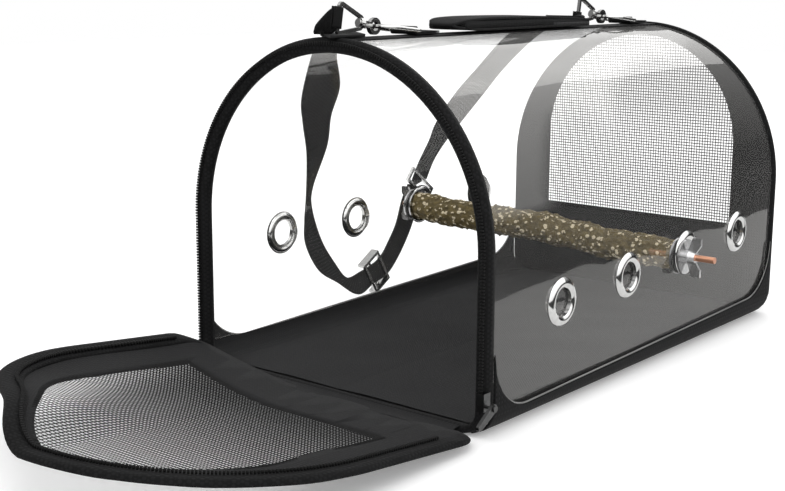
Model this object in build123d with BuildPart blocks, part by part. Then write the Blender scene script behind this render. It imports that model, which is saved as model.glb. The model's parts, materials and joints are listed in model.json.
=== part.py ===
from build123d import *
import os
from math import cos, degrees, radians, sin, sqrt

# Bird travel carrier: a tunnel of clear film on two bound hoops, a soft floor with a stiff
# board, a zipped front door folded down, a mesh back, eyelets, a perch and a shoulder strap.
# Frame: X across the carrier, -Y out of the front door, +Z up, origin under the floor's centre.

# ------------------------------------------------------------------ cabin, driving sizes (mm)
CABIN_LENGTH = 430.0
CABIN_WIDTH = 265.0
CABIN_HEIGHT = 249.0
CORNER_RADIUS = 21.0
SEAT_GAP = 0.3
CUT_MARGIN = 2.0  # how far a cut runs past the solid it opens

HOOP_WIDTH = 10.2
HOOP_DEPTH = 8.0
HOOP_ROUNDING = 2.0
SKIN_THICKNESS = 1.5
FILM_THICKNESS = 0.5
FILM_GAP = 0.2
BOARD_THICKNESS = 3.0
LINER_THICKNESS = 1.2
SILL_HEIGHT = 17.0
WINDOW_CORNER = 22.0
BACK_PANEL_THICKNESS = 1.4
MESH_THICKNESS = 0.6
MESH_OVERLAP = 4.0
WINDOW_WIDTH = 188.0
WINDOW_TOP_MARGIN = 11.0
BACK_WINDOW_SILL = 76.0
DOOR_WINDOW_SILL = 58.0
RIDGE_WIDTH = 26.0
RIDGE_THICKNESS = 1.2

# ------------------------------------------------------------------ zip
COIL_WIDTH = 2.4
COIL_HEIGHT = 2.05
COIL_GAP = 1.0
ZIP_START = 20.0
ZIP_FACE_GAP = 4.5
DOOR_COIL_START = 40.0
SLIDER_LENGTH = 12.0
SLIDER_PLATE = 1.5
SLIDER_REACH = 7.0
PULL_PIN_RADIUS = 1.1
PULL_PIN_FIT = 0.08
PULL_HEAD_RADIUS = 2.2
PULL_HEAD_LENGTH = 1.0
PULL_LENGTH = 17.0
PULL_WIDTH = 6.0
PULL_TIP_WIDTH = 4.4
PULL_THICKNESS = 2.2
PULL_DROOP_DEG = 32.0

# ------------------------------------------------------------------ door
DOOR_RIM_THICKNESS = 3.8
DOOR_SHEET_THICKNESS = 1.5
DOOR_OVERHANG = 5.0
DOOR_LIFT_DEG = 6.1
HINGE_HEIGHT = 5.0
HINGE_MARGIN = 0.5

# ------------------------------------------------------------------ eyelets
EYELET_OUTER = 34.0
EYELET_BORE = 20.0
EYELET_WALL = 1.0
EYELET_ROLL = 2.4
EYELET_BACK = 1.6
EYELET_PITCH = 89.0
EYELET_COUNT = 4
EYELET_FIRST = -125.0
EYELET_HEIGHT_RIGHT = 78.0
EYELET_RISE_RIGHT = 0.034
EYELET_HEIGHT_LEFT = 88.5
PERCH_EYELET_INDEX = 2

# ------------------------------------------------------------------ perch
PERCH_RADIUS = 12.6
PERCH_SWELL = 1.1
PERCH_BEND = 2.2
PERCH_SECTIONS = 15
PERCH_SETBACK = 6.0
PERCH_DROP_RIGHT = 2.0
BOLT_RADIUS = 2.5
BOLT_FIT = 0.05
BOLT_EMBED = 22.0
BOLT_TIP_RIGHT = 26.0
BOLT_TIP_LEFT = 12.0
INNER_WASHER_RADIUS = 14.0
OUTER_WASHER_RADIUS = 13.5
WASHER_THICKNESS = 1.5
WASHER_BORE_GAP = 0.2
CREST_GAP = 0.15
NUT_HUB_RADIUS = 5.4
NUT_TOP_RADIUS = 4.2
NUT_HEIGHT = 8.0
WING_SPAN = 15.0
WING_THICKNESS = 2.4
WING_FLARE = 4.0
WING_TIP = 5.5

# ------------------------------------------------------------------ clips on the roof
DRING_INNER_WIDTH = 26.0
DRING_LENGTH = 34.0
DRING_WIRE = 3.0
DRING_FAR_CORNER = 12.0
DRING_NEAR_CORNER = 4.0
DRING_ROUNDING = 1.2
DRING_TILT_DEG = 6.0
TAB_WIDTH = 22.0
FRONT_TAB_Y = -134.0
BACK_TAB_Y = 168.0
TAB_PLY = 1.2
TAB_LENGTH = 26.0
TAB_BORE_GAP = 0.35
HOOK_INNER = 3.2
HOOK_WIRE = 2.6
SHANK_HALF = 2.2
HOOK_THICKNESS = 3.4
HOOK_TILT_DEG = 10.0
GATE_START_DEG = 28.0
GATE_END_DEG = 84.0
GATE_GAP = 0.3
GATE_INSET = 0.2
GATE_SWING = 4.8
NOSE_END_DEG = 130.0
STEM_RADIUS = 1.5
STEM_FIT = 0.08
STEM_START = 12.0
COLLAR_RADIUS = 3.6
COLLAR_LENGTH = 3.4
RIVET_RADIUS = 2.5
RIVET_LENGTH = 1.2
EYE_HALF = 12.0
EYE_NECK_HALF = 4.5
EYE_CORNER = 3.0
EYE_WIRE = 2.4
EYE_BAR_REACH = 37.0

# ------------------------------------------------------------------ shoulder strap
STRAP_WIDTH = 38.0
STRAP_THICKNESS = 2.0
STRAP_END_WIDTH = 15.5
STRAP_HANG_GAP = 15.5
STRAP_BOTTOM = 10.0
STRAP_LEAVE_DEG = 60.0
STRAP_SPLIT_X = 8.0
STRAP_END_LEG = 7.0
STRAP_ROOF_GAP = 0.4
STRAP_ROOF_Z = 200.0
# The strap's lie, as centre points: (x, y) over the roof, (y, z) down the left wall.
FRONT_LEG_ROOF = [(0.0, -204.0), (-38.0, -172.0), (-72.0, -138.0), (-112.0, -100.0)]
FRONT_LEG_SIDE = [
    (-108.0, 206.0), (-88.0, 160.0), (-77.0, 112.0), (-71.0, 80.0), (-52.0, 46.0), (-12.0, 25.0),
    (22.0, 38.0), (45.0, 64.0), (57.0, 86.0), (69.0, 98.0),
]
BACK_LEG_ROOF = [(0.0, 58.0), (-34.0, 98.0), (-70.0, 122.0), (-112.0, 118.0)]
BACK_LEG_SIDE = [(120.0, 206.0), (101.0, 171.0), (87.0, 140.0), (74.0, 107.0)]
FOLD_FRONT_Y = -88.0
FOLD_BACK_Y = 86.0
FOLD_RISE = 5.6
ROOF_LEG_WIDTH = 34.0
FRONT_LEG_WIDTH = 22.0
BACK_LEG_WIDTH = 32.0
GLIDE_WIRE = 2.6
GLIDE_LENGTH = 22.0
GLIDE_CENTRE = (10.0, 31.0)
GLIDE_SLOPE_DEG = 31.0
GLIDE_GAP = 0.3
GLIDE_SIDE_GAP = 2.6
RING_LENGTH = 14.0
RING_CENTRE = (71.5, 102.5)
RING_SLOPE_DEG = 52.0

# ------------------------------------------------------------------ derived places
HALF_WIDTH = CABIN_WIDTH / 2
HALF_LENGTH = CABIN_LENGTH / 2
STRAP_HANG = HALF_WIDTH + STRAP_HANG_GAP
BODY_HALF = HALF_LENGTH - HOOP_DEPTH
SPRING_Z = CABIN_HEIGHT - HALF_WIDTH
FLAT_HALF = HALF_WIDTH - CORNER_RADIUS
FILM_INSET = SKIN_THICKNESS + FILM_GAP
LINER_INSET = SKIN_THICKNESS + BOARD_THICKNESS
FLOOR_TOP = LINER_INSET + LINER_THICKNESS
FILM_OUT_X = HALF_WIDTH - FILM_INSET
FILM_IN_X = FILM_OUT_X - FILM_THICKNESS
PANEL_BACK_Y = BODY_HALF
PANEL_FRONT_Y = PANEL_BACK_Y - BACK_PANEL_THICKNESS
MESH_FRONT_Y = PANEL_FRONT_Y - MESH_THICKNESS
INNER_BACK_Y = MESH_FRONT_Y - SEAT_GAP
RIDGE_INSET = FILM_INSET - FILM_GAP - RIDGE_THICKNESS
RIDGE_TOP = CABIN_HEIGHT - RIDGE_INSET
FRONT_FACE_Y = -HALF_LENGTH
DOOR_HALF_THICKNESS = (DOOR_RIM_THICKNESS + DOOR_SHEET_THICKNESS) / 2
HINGE_Y = FRONT_FACE_Y - ZIP_FACE_GAP - DOOR_HALF_THICKNESS
DOOR_BOTTOM = HINGE_HEIGHT - DOOR_HALF_THICKNESS


def station(y):
    """Upright plane across the carrier at y: local x is +X, local y is +Z, facing -Y."""
    return Plane.XZ.offset(-y)


def side(x):
    """Upright plane along the carrier at x: local x is +Y, local y is +Z, facing +X."""
    return Plane.YZ.offset(x)


def tunnel_face(inset, floor=None, mode=Mode.ADD):
    """Tunnel section moved inward by inset: flat floor, round corners, upright sides, round crown."""
    floor = inset if floor is None else floor
    half = HALF_WIDTH - inset
    corner = CORNER_RADIUS - inset
    with BuildSketch() as section:
        with BuildLine():
            bottom = Line((-(half - corner), floor), (half - corner, floor))
            first = JernArc(bottom @ 1, bottom % 1, corner, 90)
            right = Line(first @ 1, (half, SPRING_Z))
            crown = JernArc(right @ 1, right % 1, half, 180)
            left = Line(crown @ 1, (-half, floor + corner))
            JernArc(left @ 1, left % 1, corner, 90)
        make_face()
    add(section.sketch, mode=mode)


def tunnel_band(inset, thickness):
    """Closed band of the tunnel section, from inset to inset + thickness."""
    tunnel_face(inset)
    tunnel_face(inset + thickness, mode=Mode.SUBTRACT)


def cut_below(height):
    """Takes away what a tunnel sketch has below a height."""
    with Locations((0, height - CABIN_HEIGHT / 2)):
        Rectangle(2 * CABIN_WIDTH, CABIN_HEIGHT, mode=Mode.SUBTRACT)


def keep_below(height):
    """Takes away what a tunnel sketch has above a height."""
    with Locations((0, height + CABIN_HEIGHT)):
        Rectangle(2 * CABIN_WIDTH, 2 * CABIN_HEIGHT, mode=Mode.SUBTRACT)


def window_face(sill, top, growth=0.0, mode=Mode.ADD):
    """Arch window between sill and top, grown outward by growth."""
    half = WINDOW_WIDTH / 2
    with BuildSketch() as window:
        with BuildLine():
            bottom = Line((-half - growth, sill - growth), (half + growth, sill - growth))
            right = Line(bottom @ 1, (half + growth, top - half))
            crown = JernArc(right @ 1, right % 1, half + growth, 180)
            Line(crown @ 1, bottom @ 0)
        make_face()
    add(window.sketch, mode=mode)


def finish(piece, label):
    """Labels a finished piece and writes it under its own name."""
    piece.part.label = label
    export_step(piece.part, f"parts/{label}.step")


os.makedirs("parts", exist_ok=True)

# ================================================================== floor
with BuildPart() as floor_fabric:
    with BuildSketch(station(BODY_HALF)):
        with Locations((0, SKIN_THICKNESS / 2)):
            Rectangle(2 * FLAT_HALF, SKIN_THICKNESS)
    extrude(amount=2 * BODY_HALF)
finish(floor_fabric, "floor_fabric")

with BuildPart() as base_board:
    with BuildSketch(Plane.XY.offset(SKIN_THICKNESS)):
        with Locations((0, (INNER_BACK_Y - BODY_HALF) / 2)):
            Rectangle(2 * (FLAT_HALF - SEAT_GAP), INNER_BACK_Y + BODY_HALF)
    extrude(amount=BOARD_THICKNESS)
finish(base_board, "base_board")

with BuildPart() as floor_liner:
    with BuildSketch(station(INNER_BACK_Y)):
        tunnel_band(LINER_INSET, LINER_THICKNESS)
        keep_below(SILL_HEIGHT)
    extrude(amount=INNER_BACK_Y + BODY_HALF)
finish(floor_liner, "floor_liner")

# The bindings wrap the bottom edges and rise round the film's corners at both hoops.
with BuildPart() as side_binding_right:
    with BuildSketch(station(BODY_HALF)):
        tunnel_band(0, SKIN_THICKNESS)
        with Locations((FLAT_HALF - CABIN_WIDTH, SPRING_Z)):
            Rectangle(2 * CABIN_WIDTH, 2 * CABIN_HEIGHT, mode=Mode.SUBTRACT)
    extrude(amount=2 * BODY_HALF)
    with BuildSketch(side(0)):
        with Locations((0, (SILL_HEIGHT + WINDOW_CORNER) / 2)):
            Rectangle(2 * BODY_HALF, SILL_HEIGHT + WINDOW_CORNER)
        with Locations((0, SILL_HEIGHT + CABIN_HEIGHT / 2)):
            RectangleRounded(2 * BODY_HALF, CABIN_HEIGHT, WINDOW_CORNER, mode=Mode.SUBTRACT)
    extrude(amount=CABIN_WIDTH, mode=Mode.INTERSECT)
finish(side_binding_right, "side_binding_right")

with BuildPart() as side_binding_left:
    add(side_binding_right.part.mirror(Plane.YZ))
finish(side_binding_left, "side_binding_left")


# ================================================================== film and eyelets
def eyelet_places(right):
    """Centres of one side's eyelets as (y, z)."""
    places = []
    for index in range(EYELET_COUNT):
        y = EYELET_FIRST + index * EYELET_PITCH
        z = EYELET_HEIGHT_RIGHT + EYELET_RISE_RIGHT * y if right else EYELET_HEIGHT_LEFT
        places.append((y, z))
    return places


BARREL_RADIUS = EYELET_BORE / 2 + EYELET_WALL
FILM_HOLE_RADIUS = BARREL_RADIUS + FILM_GAP

with BuildPart() as pvc_film:
    with BuildSketch(station(BODY_HALF)):
        tunnel_band(FILM_INSET, FILM_THICKNESS)
        cut_below(FLOOR_TOP)
    extrude(amount=2 * BODY_HALF)
    for right in (True, False):
        with BuildSketch(side(FILM_IN_X / 2 if right else -CABIN_WIDTH)):
            with Locations(*eyelet_places(right)):
                Circle(FILM_HOLE_RADIUS)
        extrude(amount=CABIN_WIDTH - FILM_IN_X / 2, mode=Mode.SUBTRACT)
finish(pvc_film, "pvc_film")


def eyelet_grommet(y, z, out):
    """Rolled outer flange with its barrel; out is +1 on the right wall, -1 on the left."""
    flange = EYELET_OUTER / 2
    bore = EYELET_BORE / 2
    with BuildPart() as grommet:
        with BuildSketch(Plane(origin=(out * FILM_OUT_X, y, z), x_dir=(0, 0, 1), z_dir=(0, out, 0))):
            # local x is the radius, local y points out of the wall
            with BuildLine():
                Polyline((flange, 0), (BARREL_RADIUS, 0), (BARREL_RADIUS, -FILM_THICKNESS - EYELET_WALL))
                Line((BARREL_RADIUS, -FILM_THICKNESS - EYELET_WALL), (bore, -FILM_THICKNESS - EYELET_WALL))
                Line((bore, -FILM_THICKNESS - EYELET_WALL), (bore, EYELET_ROLL / 2))
                ThreePointArc((bore, EYELET_ROLL / 2), ((bore + flange) / 2, EYELET_ROLL), (flange, 0))
            make_face()
        revolve(axis=Axis((0, y, z), (1, 0, 0)))
    return grommet.part


def eyelet_washer(y, z, out):
    """Washer ring that the barrel clinches inside the wall."""
    inner_face = out * FILM_IN_X
    with BuildPart() as washer:
        with BuildSketch(Plane(origin=(inner_face, y, z), x_dir=(0, 0, 1), z_dir=(0, out, 0))):
            with BuildLine():
                start = (BARREL_RADIUS + FILM_GAP, 0)
                end = (EYELET_OUTER / 2 - EYELET_WALL, 0)
                Line(start, end)
                ThreePointArc(end, ((start[0] + end[0]) / 2, -EYELET_BACK), start)
            make_face()
        revolve(axis=Axis((0, y, z), (1, 0, 0)))
    return washer.part


for right, name in ((True, "right"), (False, "left")):
    out = 1 if right else -1
    with BuildPart() as grommets:
        for y, z in eyelet_places(right):
            add(eyelet_grommet(y, z, out))
    finish(grommets, f"eyelets_{name}")
    with BuildPart() as washers:
        for y, z in eyelet_places(right):
            add(eyelet_washer(y, z, out))
    finish(washers, f"eyelet_washers_{name}")

# ================================================================== hoops and back
with BuildPart() as front_hoop:
    with BuildSketch(station(-BODY_HALF)):
        tunnel_face(0)
        tunnel_face(HOOP_WIDTH, floor=FLOOR_TOP, mode=Mode.SUBTRACT)
    extrude(amount=HOOP_DEPTH)
    fillet(front_hoop.faces().sort_by(Axis.Y)[0].outer_wire().edges(), HOOP_ROUNDING)
finish(front_hoop, "front_hoop")

with BuildPart() as back_hoop:
    with BuildSketch(station(HALF_LENGTH)):
        tunnel_face(0)
        tunnel_face(HOOP_WIDTH, floor=FLOOR_TOP, mode=Mode.SUBTRACT)
    extrude(amount=HOOP_DEPTH)
    fillet(back_hoop.faces().sort_by(Axis.Y)[-1].outer_wire().edges(), HOOP_ROUNDING)
finish(back_hoop, "back_hoop")

WINDOW_TOP = CABIN_HEIGHT - WINDOW_TOP_MARGIN

with BuildPart() as back_panel:
    with BuildSketch(station(PANEL_BACK_Y)):
        tunnel_face(FILM_INSET + FILM_THICKNESS + SEAT_GAP)
        window_face(BACK_WINDOW_SILL, WINDOW_TOP, mode=Mode.SUBTRACT)
    extrude(amount=BACK_PANEL_THICKNESS)
finish(back_panel, "back_panel")

with BuildPart() as back_mesh:
    with BuildSketch(station(PANEL_FRONT_Y)):
        window_face(BACK_WINDOW_SILL, WINDOW_TOP, growth=MESH_OVERLAP)
    extrude(amount=MESH_THICKNESS)
finish(back_mesh, "back_mesh")

with BuildPart() as ridge_strip:
    with BuildSketch(station(BODY_HALF)):
        tunnel_band(RIDGE_INSET, RIDGE_THICKNESS)
        cut_below(SPRING_Z)
        for direction in (-1, 1):
            with Locations((direction * (RIDGE_WIDTH + CABIN_WIDTH) / 2, CABIN_HEIGHT)):
                Rectangle(CABIN_WIDTH, 2 * CABIN_HEIGHT, mode=Mode.SUBTRACT)
    extrude(amount=2 * BODY_HALF)
finish(ridge_strip, "ridge_strip")

# ================================================================== front zip on the hoop
with BuildPart() as frame_zip_coil:
    with BuildSketch(station(FRONT_FACE_Y)):
        tunnel_band(HOOP_ROUNDING, COIL_WIDTH)
        cut_below(ZIP_START)
    extrude(amount=COIL_HEIGHT)
finish(frame_zip_coil, "frame_zip_coil")

# The fold that joins the floor to the door's hinge edge.
HINGE_STRIP_FRONT = HINGE_Y + DOOR_HALF_THICKNESS + 2 * SEAT_GAP
with BuildPart() as hinge_strip:
    with BuildSketch(Plane.XY.offset(HINGE_HEIGHT - DOOR_HALF_THICKNESS + HINGE_MARGIN)):
        with Locations((0, (FRONT_FACE_Y + HINGE_STRIP_FRONT) / 2)):
            Rectangle(2 * FLAT_HALF, FRONT_FACE_Y - HINGE_STRIP_FRONT)
    extrude(amount=2 * (DOOR_HALF_THICKNESS - HINGE_MARGIN))
finish(hinge_strip, "hinge_strip")

# Slider: an outer cheek beside the hoop and a web across the coil, parked at the zip's low end.
SLIDER_BOTTOM = ZIP_START + SEAT_GAP
CHEEK_IN_X = HALF_WIDTH + FILM_GAP
CHEEK_OUT_X = CHEEK_IN_X + SLIDER_PLATE
WEB_BACK_Y = FRONT_FACE_Y - COIL_HEIGHT - FILM_GAP
WEB_FRONT_Y = FRONT_FACE_Y - ZIP_FACE_GAP + SEAT_GAP
COIL_IN_X = HALF_WIDTH - HOOP_ROUNDING - COIL_WIDTH
PIN_Y = WEB_FRONT_Y + SLIDER_REACH / 2
PIN_Z = SLIDER_BOTTOM + PULL_WIDTH / 2
PULL_IN_X = HALF_WIDTH + DOOR_OVERHANG + SEAT_GAP
PULL_OUT_X = PULL_IN_X + PULL_THICKNESS

with BuildPart() as zip_slider:
    with BuildSketch(Plane.XY.offset(SLIDER_BOTTOM)):
        with Locations(((COIL_IN_X + CHEEK_OUT_X) / 2, (WEB_BACK_Y + WEB_FRONT_Y) / 2)):
            Rectangle(CHEEK_OUT_X - COIL_IN_X, WEB_BACK_Y - WEB_FRONT_Y)
        with Locations(((CHEEK_IN_X + CHEEK_OUT_X) / 2, WEB_FRONT_Y + SLIDER_REACH / 2)):
            Rectangle(SLIDER_PLATE, SLIDER_REACH)
    extrude(amount=SLIDER_LENGTH)
    with BuildSketch(side(CHEEK_OUT_X)):
        with Locations((PIN_Y, PIN_Z)):
            Circle(PULL_PIN_RADIUS)
    extrude(amount=PULL_OUT_X + PULL_PIN_FIT - CHEEK_OUT_X)
    with BuildSketch(side(PULL_OUT_X + PULL_PIN_FIT)):
        with Locations((PIN_Y, PIN_Z)):
            Circle(PULL_HEAD_RADIUS)
    extrude(amount=PULL_HEAD_LENGTH)
finish(zip_slider, "zip_slider")

# Pull: a tapered tab that swings on the slider's pin, drooping forward.
droop = radians(PULL_DROOP_DEG)
PULL_PLANE = Plane(origin=(PULL_IN_X, PIN_Y, PIN_Z), x_dir=(0, -cos(droop), -sin(droop)), z_dir=(1, 0, 0))
with BuildPart() as zip_pull:
    with BuildSketch(PULL_PLANE):
        with BuildLine():
            Polyline(
                (0, PULL_WIDTH / 2), (PULL_LENGTH, PULL_TIP_WIDTH / 2),
                (PULL_LENGTH, -PULL_TIP_WIDTH / 2), (0, -PULL_WIDTH / 2), close=True,
            )
        make_face()
        Circle(PULL_WIDTH / 2)
        with Locations((PULL_LENGTH, 0)):
            Circle(PULL_TIP_WIDTH / 2)
        Circle(PULL_PIN_RADIUS + PULL_PIN_FIT, mode=Mode.SUBTRACT)
    extrude(amount=PULL_THICKNESS)
finish(zip_pull, "zip_pull")

# ================================================================== door
lift = radians(DOOR_LIFT_DEG)


def door_level(height):
    """Plane along the door: local y is the closed door's z, height is over the hinge axis."""
    away = Vector(0, -cos(lift), sin(lift))
    normal = Vector(0, sin(lift), cos(lift))
    hinge = Vector(0, HINGE_Y, HINGE_HEIGHT)
    return Plane(origin=hinge - away * HINGE_HEIGHT + normal * height, x_dir=(-1, 0, 0), z_dir=normal)


SHEET_TOP = -DOOR_HALF_THICKNESS + DOOR_SHEET_THICKNESS
DOOR_WINDOW_TOP = CABIN_HEIGHT - HOOP_WIDTH - SEAT_GAP - MESH_OVERLAP

with BuildPart() as door_sheet:
    with BuildSketch(door_level(-DOOR_HALF_THICKNESS)):
        tunnel_face(-DOOR_OVERHANG, floor=DOOR_BOTTOM)
        window_face(DOOR_WINDOW_SILL, DOOR_WINDOW_TOP, mode=Mode.SUBTRACT)
    extrude(amount=DOOR_SHEET_THICKNESS)
finish(door_sheet, "door_sheet")

with BuildPart() as door_rim:
    with BuildSketch(door_level(SHEET_TOP)):
        tunnel_face(-DOOR_OVERHANG, floor=DOOR_BOTTOM)
        tunnel_face(HOOP_WIDTH, floor=DOOR_BOTTOM + HOOP_WIDTH / 2, mode=Mode.SUBTRACT)
    extrude(amount=DOOR_RIM_THICKNESS)
    door_up = Axis((0, 0, 0), tuple(door_level(0).z_dir))
    fillet(door_rim.faces().sort_by(door_up)[-1].outer_wire().edges(), HOOP_ROUNDING)
finish(door_rim, "door_rim")

with BuildPart() as door_mesh:
    with BuildSketch(door_level(SHEET_TOP)):
        window_face(DOOR_WINDOW_SILL, DOOR_WINDOW_TOP, growth=MESH_OVERLAP)
    extrude(amount=MESH_THICKNESS)
finish(door_mesh, "door_mesh")

# The door's coil runs inside the frame's, so the two lie side by side when the door is shut.
with BuildPart() as door_zip_coil:
    with BuildSketch(door_level(DOOR_HALF_THICKNESS)):
        tunnel_band(HOOP_ROUNDING + COIL_WIDTH + COIL_GAP, COIL_WIDTH)
        cut_below(DOOR_COIL_START)
    extrude(amount=COIL_HEIGHT)
finish(door_zip_coil, "door_zip_coil")

# ================================================================== perch
def perch_end(right):
    """Where the perch's bolt passes a wall, as (y, z)."""
    y, z = eyelet_places(right)[PERCH_EYELET_INDEX]
    return y - PERCH_SETBACK, z - (PERCH_DROP_RIGHT if right else 0.0)


EYELET_IN_X = FILM_IN_X - EYELET_BACK - CREST_GAP
EYELET_OUT_X = FILM_OUT_X + EYELET_ROLL + CREST_GAP
PERCH_END_X = EYELET_IN_X - WASHER_THICKNESS
NUT_SEAT_X = EYELET_OUT_X + WASHER_THICKNESS
BOLT_HOLE = BOLT_RADIUS + BOLT_FIT


def perch_centre(share):
    """Centre of the branch at a share of its length from the left end, as (y, z)."""
    y_left, z_left = perch_end(False)
    y_right, z_right = perch_end(True)
    bow = PERCH_BEND * sin(share * radians(180)) * sin(share * radians(540))
    return y_left + (y_right - y_left) * share + bow, z_left + (z_right - z_left) * share - bow


with BuildPart() as perch_branch:
    for index in range(PERCH_SECTIONS):
        share = index / (PERCH_SECTIONS - 1)
        swell = PERCH_SWELL * sin(share * radians(1620)) + PERCH_SWELL / 2 * sin(share * radians(720))
        with BuildSketch(side(-PERCH_END_X + 2 * PERCH_END_X * share)):
            with Locations(perch_centre(share)):
                Circle(PERCH_RADIUS + swell)
    loft()
    for right in (True, False):
        out = 1 if right else -1
        with BuildSketch(side(out * PERCH_END_X)):
            with Locations(perch_end(right)):
                Circle(BOLT_HOLE)
        extrude(amount=-out * BOLT_EMBED, mode=Mode.SUBTRACT)
finish(perch_branch, "perch_branch")


def disc(x_start, x_end, centre, radius, bore):
    """Ring across X between two stations, on a centre given as (y, z)."""
    with BuildPart() as ring:
        with BuildSketch(side(x_start)):
            with Locations(centre):
                Circle(radius)
                if bore:
                    Circle(bore, mode=Mode.SUBTRACT)
        extrude(amount=x_end - x_start)
    return ring.part


def wing_nut(out, centre):
    """Hub with two flared wings, seated on its washer; out is +1 on the right, -1 on the left."""
    y, z = centre
    seat = NUT_SEAT_X * out
    with BuildPart() as nut:
        with BuildSketch(Plane(origin=(seat, y, z), x_dir=(0, 0, 1), z_dir=(0, out, 0))):
            # local x is the radius, local y points out of the wall
            with BuildLine():
                Polyline(
                    (0, 0), (NUT_HUB_RADIUS, 0), (NUT_HUB_RADIUS, NUT_HEIGHT / 3),
                    (NUT_TOP_RADIUS, NUT_HEIGHT), (0, NUT_HEIGHT), close=True,
                )
            make_face()
        revolve(axis=Axis((0, y, z), (1, 0, 0)))
        wings = Plane(origin=(seat, y, z), x_dir=(0, 0, 1), z_dir=(0, out, 0))
        with BuildSketch(wings.offset(-WING_THICKNESS / 2)):
            for direction in (-1, 1):
                with BuildLine():
                    Polyline(
                        (0, NUT_HEIGHT / 4), (direction * NUT_HUB_RADIUS, NUT_HEIGHT / 5),
                        (direction * WING_SPAN, NUT_HEIGHT * 0.6),
                        (direction * WING_SPAN, NUT_HEIGHT + WING_FLARE),
                        (direction * (WING_SPAN - WING_TIP), NUT_HEIGHT + WING_FLARE),
                        (0, NUT_HEIGHT * 0.7), close=True,
                    )
                make_face()
        extrude(amount=WING_THICKNESS)
        with BuildSketch(side(seat - out)):
            with Locations(centre):
                Circle(BOLT_HOLE)
        extrude(amount=out * (NUT_HEIGHT + CUT_MARGIN), mode=Mode.SUBTRACT)
    return nut.part


with BuildPart() as perch_bolts:
    for right, tip in ((True, BOLT_TIP_RIGHT), (False, BOLT_TIP_LEFT)):
        out = 1 if right else -1
        add(disc(out * (PERCH_END_X - BOLT_EMBED), out * (HALF_WIDTH + tip), perch_end(right), BOLT_RADIUS, 0))
finish(perch_bolts, "perch_bolts")

with BuildPart() as inner_washers:
    for right in (True, False):
        out = 1 if right else -1
        add(disc(out * PERCH_END_X, out * EYELET_IN_X, perch_end(right), INNER_WASHER_RADIUS,
                 BOLT_RADIUS + WASHER_BORE_GAP))
finish(inner_washers, "inner_washers")

for right, name in ((True, "right"), (False, "left")):
    out = 1 if right else -1
    with BuildPart() as washer:
        add(disc(out * EYELET_OUT_X, out * NUT_SEAT_X, perch_end(right), OUTER_WASHER_RADIUS, BOLT_HOLE))
    finish(washer, f"outer_washer_{name}")
    with BuildPart() as nut:
        add(wing_nut(out, perch_end(right)))
    finish(nut, f"wing_nut_{name}")

# ================================================================== roof clips
ring_tilt = radians(DRING_TILT_DEG)
hook_tilt = radians(HOOK_TILT_DEG)
WIRE_RADIUS = DRING_WIRE / 2
PIVOT_Z = RIDGE_TOP + TAB_PLY + TAB_BORE_GAP + WIRE_RADIUS
TAB_BORE = WIRE_RADIUS + TAB_BORE_GAP
HOOK_Z = PIVOT_Z + DRING_LENGTH * sin(ring_tilt)
HOOK_BACK = DRING_LENGTH * cos(ring_tilt)
COLLAR_START = STEM_START + GATE_GAP
RIVET_START = COLLAR_START + COLLAR_LENGTH + GATE_GAP
HOOK_MIDDLE = HOOK_INNER + HOOK_WIRE / 2


def polar(radius, angle_deg):
    """Point at a radius and an angle from local x."""
    return radius * cos(radians(angle_deg)), radius * sin(radians(angle_deg))


def sector(start_deg, end_deg, reach):
    """Wedge from the sketch's origin between two angles."""
    with BuildSketch() as wedge:
        with BuildLine():
            Polyline((0, 0), polar(reach, start_deg), polar(reach, end_deg), close=True)
        make_face()
    return wedge.sketch


def clip_plane(tab_y):
    """Plane of one snap hook: local x runs along its axis to the eye, local y is up."""
    origin = (0, tab_y - HOOK_BACK, HOOK_Z)
    return Plane(origin=origin, x_dir=(0, -cos(hook_tilt), sin(hook_tilt)), z_dir=(-1, 0, 0))


def axle_plane(tab_y, reach):
    """Plane square to the snap hook's axis, at a distance from the D-ring's bar."""
    base = clip_plane(tab_y)
    return Plane(origin=base.origin + base.x_dir * reach, x_dir=(1, 0, 0), z_dir=base.x_dir)


def webbing_tab(tab_y):
    """Sewn tab: a loop round the D-ring's bar with its two plies flat on the ridge strip."""
    with BuildPart() as tab:
        with BuildSketch(side(-TAB_WIDTH / 2)):
            with Locations((tab_y, PIVOT_Z)):
                Circle(TAB_BORE + TAB_PLY)
            with Locations((tab_y + TAB_LENGTH / 2, RIDGE_TOP + TAB_PLY)):
                Rectangle(TAB_LENGTH, 2 * TAB_PLY)
            with Locations((tab_y, PIVOT_Z)):
                Circle(TAB_BORE, mode=Mode.SUBTRACT)
        extrude(amount=TAB_WIDTH)
    return tab.part


def d_ring(tab_y):
    """D-ring of round wire: straight bar in the tab, wide corners at the hook."""
    away = (0, -sin(ring_tilt), -cos(ring_tilt))
    with BuildPart() as ring:
        with BuildSketch(Plane(origin=(0, tab_y, PIVOT_Z), x_dir=(1, 0, 0), z_dir=away)) as outline:
            with Locations((0, DRING_LENGTH / 2)):
                Rectangle(DRING_INNER_WIDTH + 2 * DRING_WIRE, DRING_LENGTH + DRING_WIRE)
            fillet(outline.vertices().group_by(Axis.Y)[0], DRING_NEAR_CORNER)
            fillet(outline.vertices().group_by(Axis.Y)[-1], DRING_FAR_CORNER)
            offset(amount=-DRING_WIRE, mode=Mode.SUBTRACT)
        extrude(amount=WIRE_RADIUS, both=True)
        fillet(ring.edges(), DRING_ROUNDING)
    return ring.part


def nose_relief():
    """Room inside the hook's nose for the gate's tip to swing inward."""
    with BuildSketch() as relief:
        add(sector(GATE_END_DEG, NOSE_END_DEG, 2 * HOOK_INNER + 2 * HOOK_WIRE))
        with Locations(polar(HOOK_MIDDLE, GATE_START_DEG)):
            Circle(GATE_SWING, mode=Mode.INTERSECT)
    return relief.sketch


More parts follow.
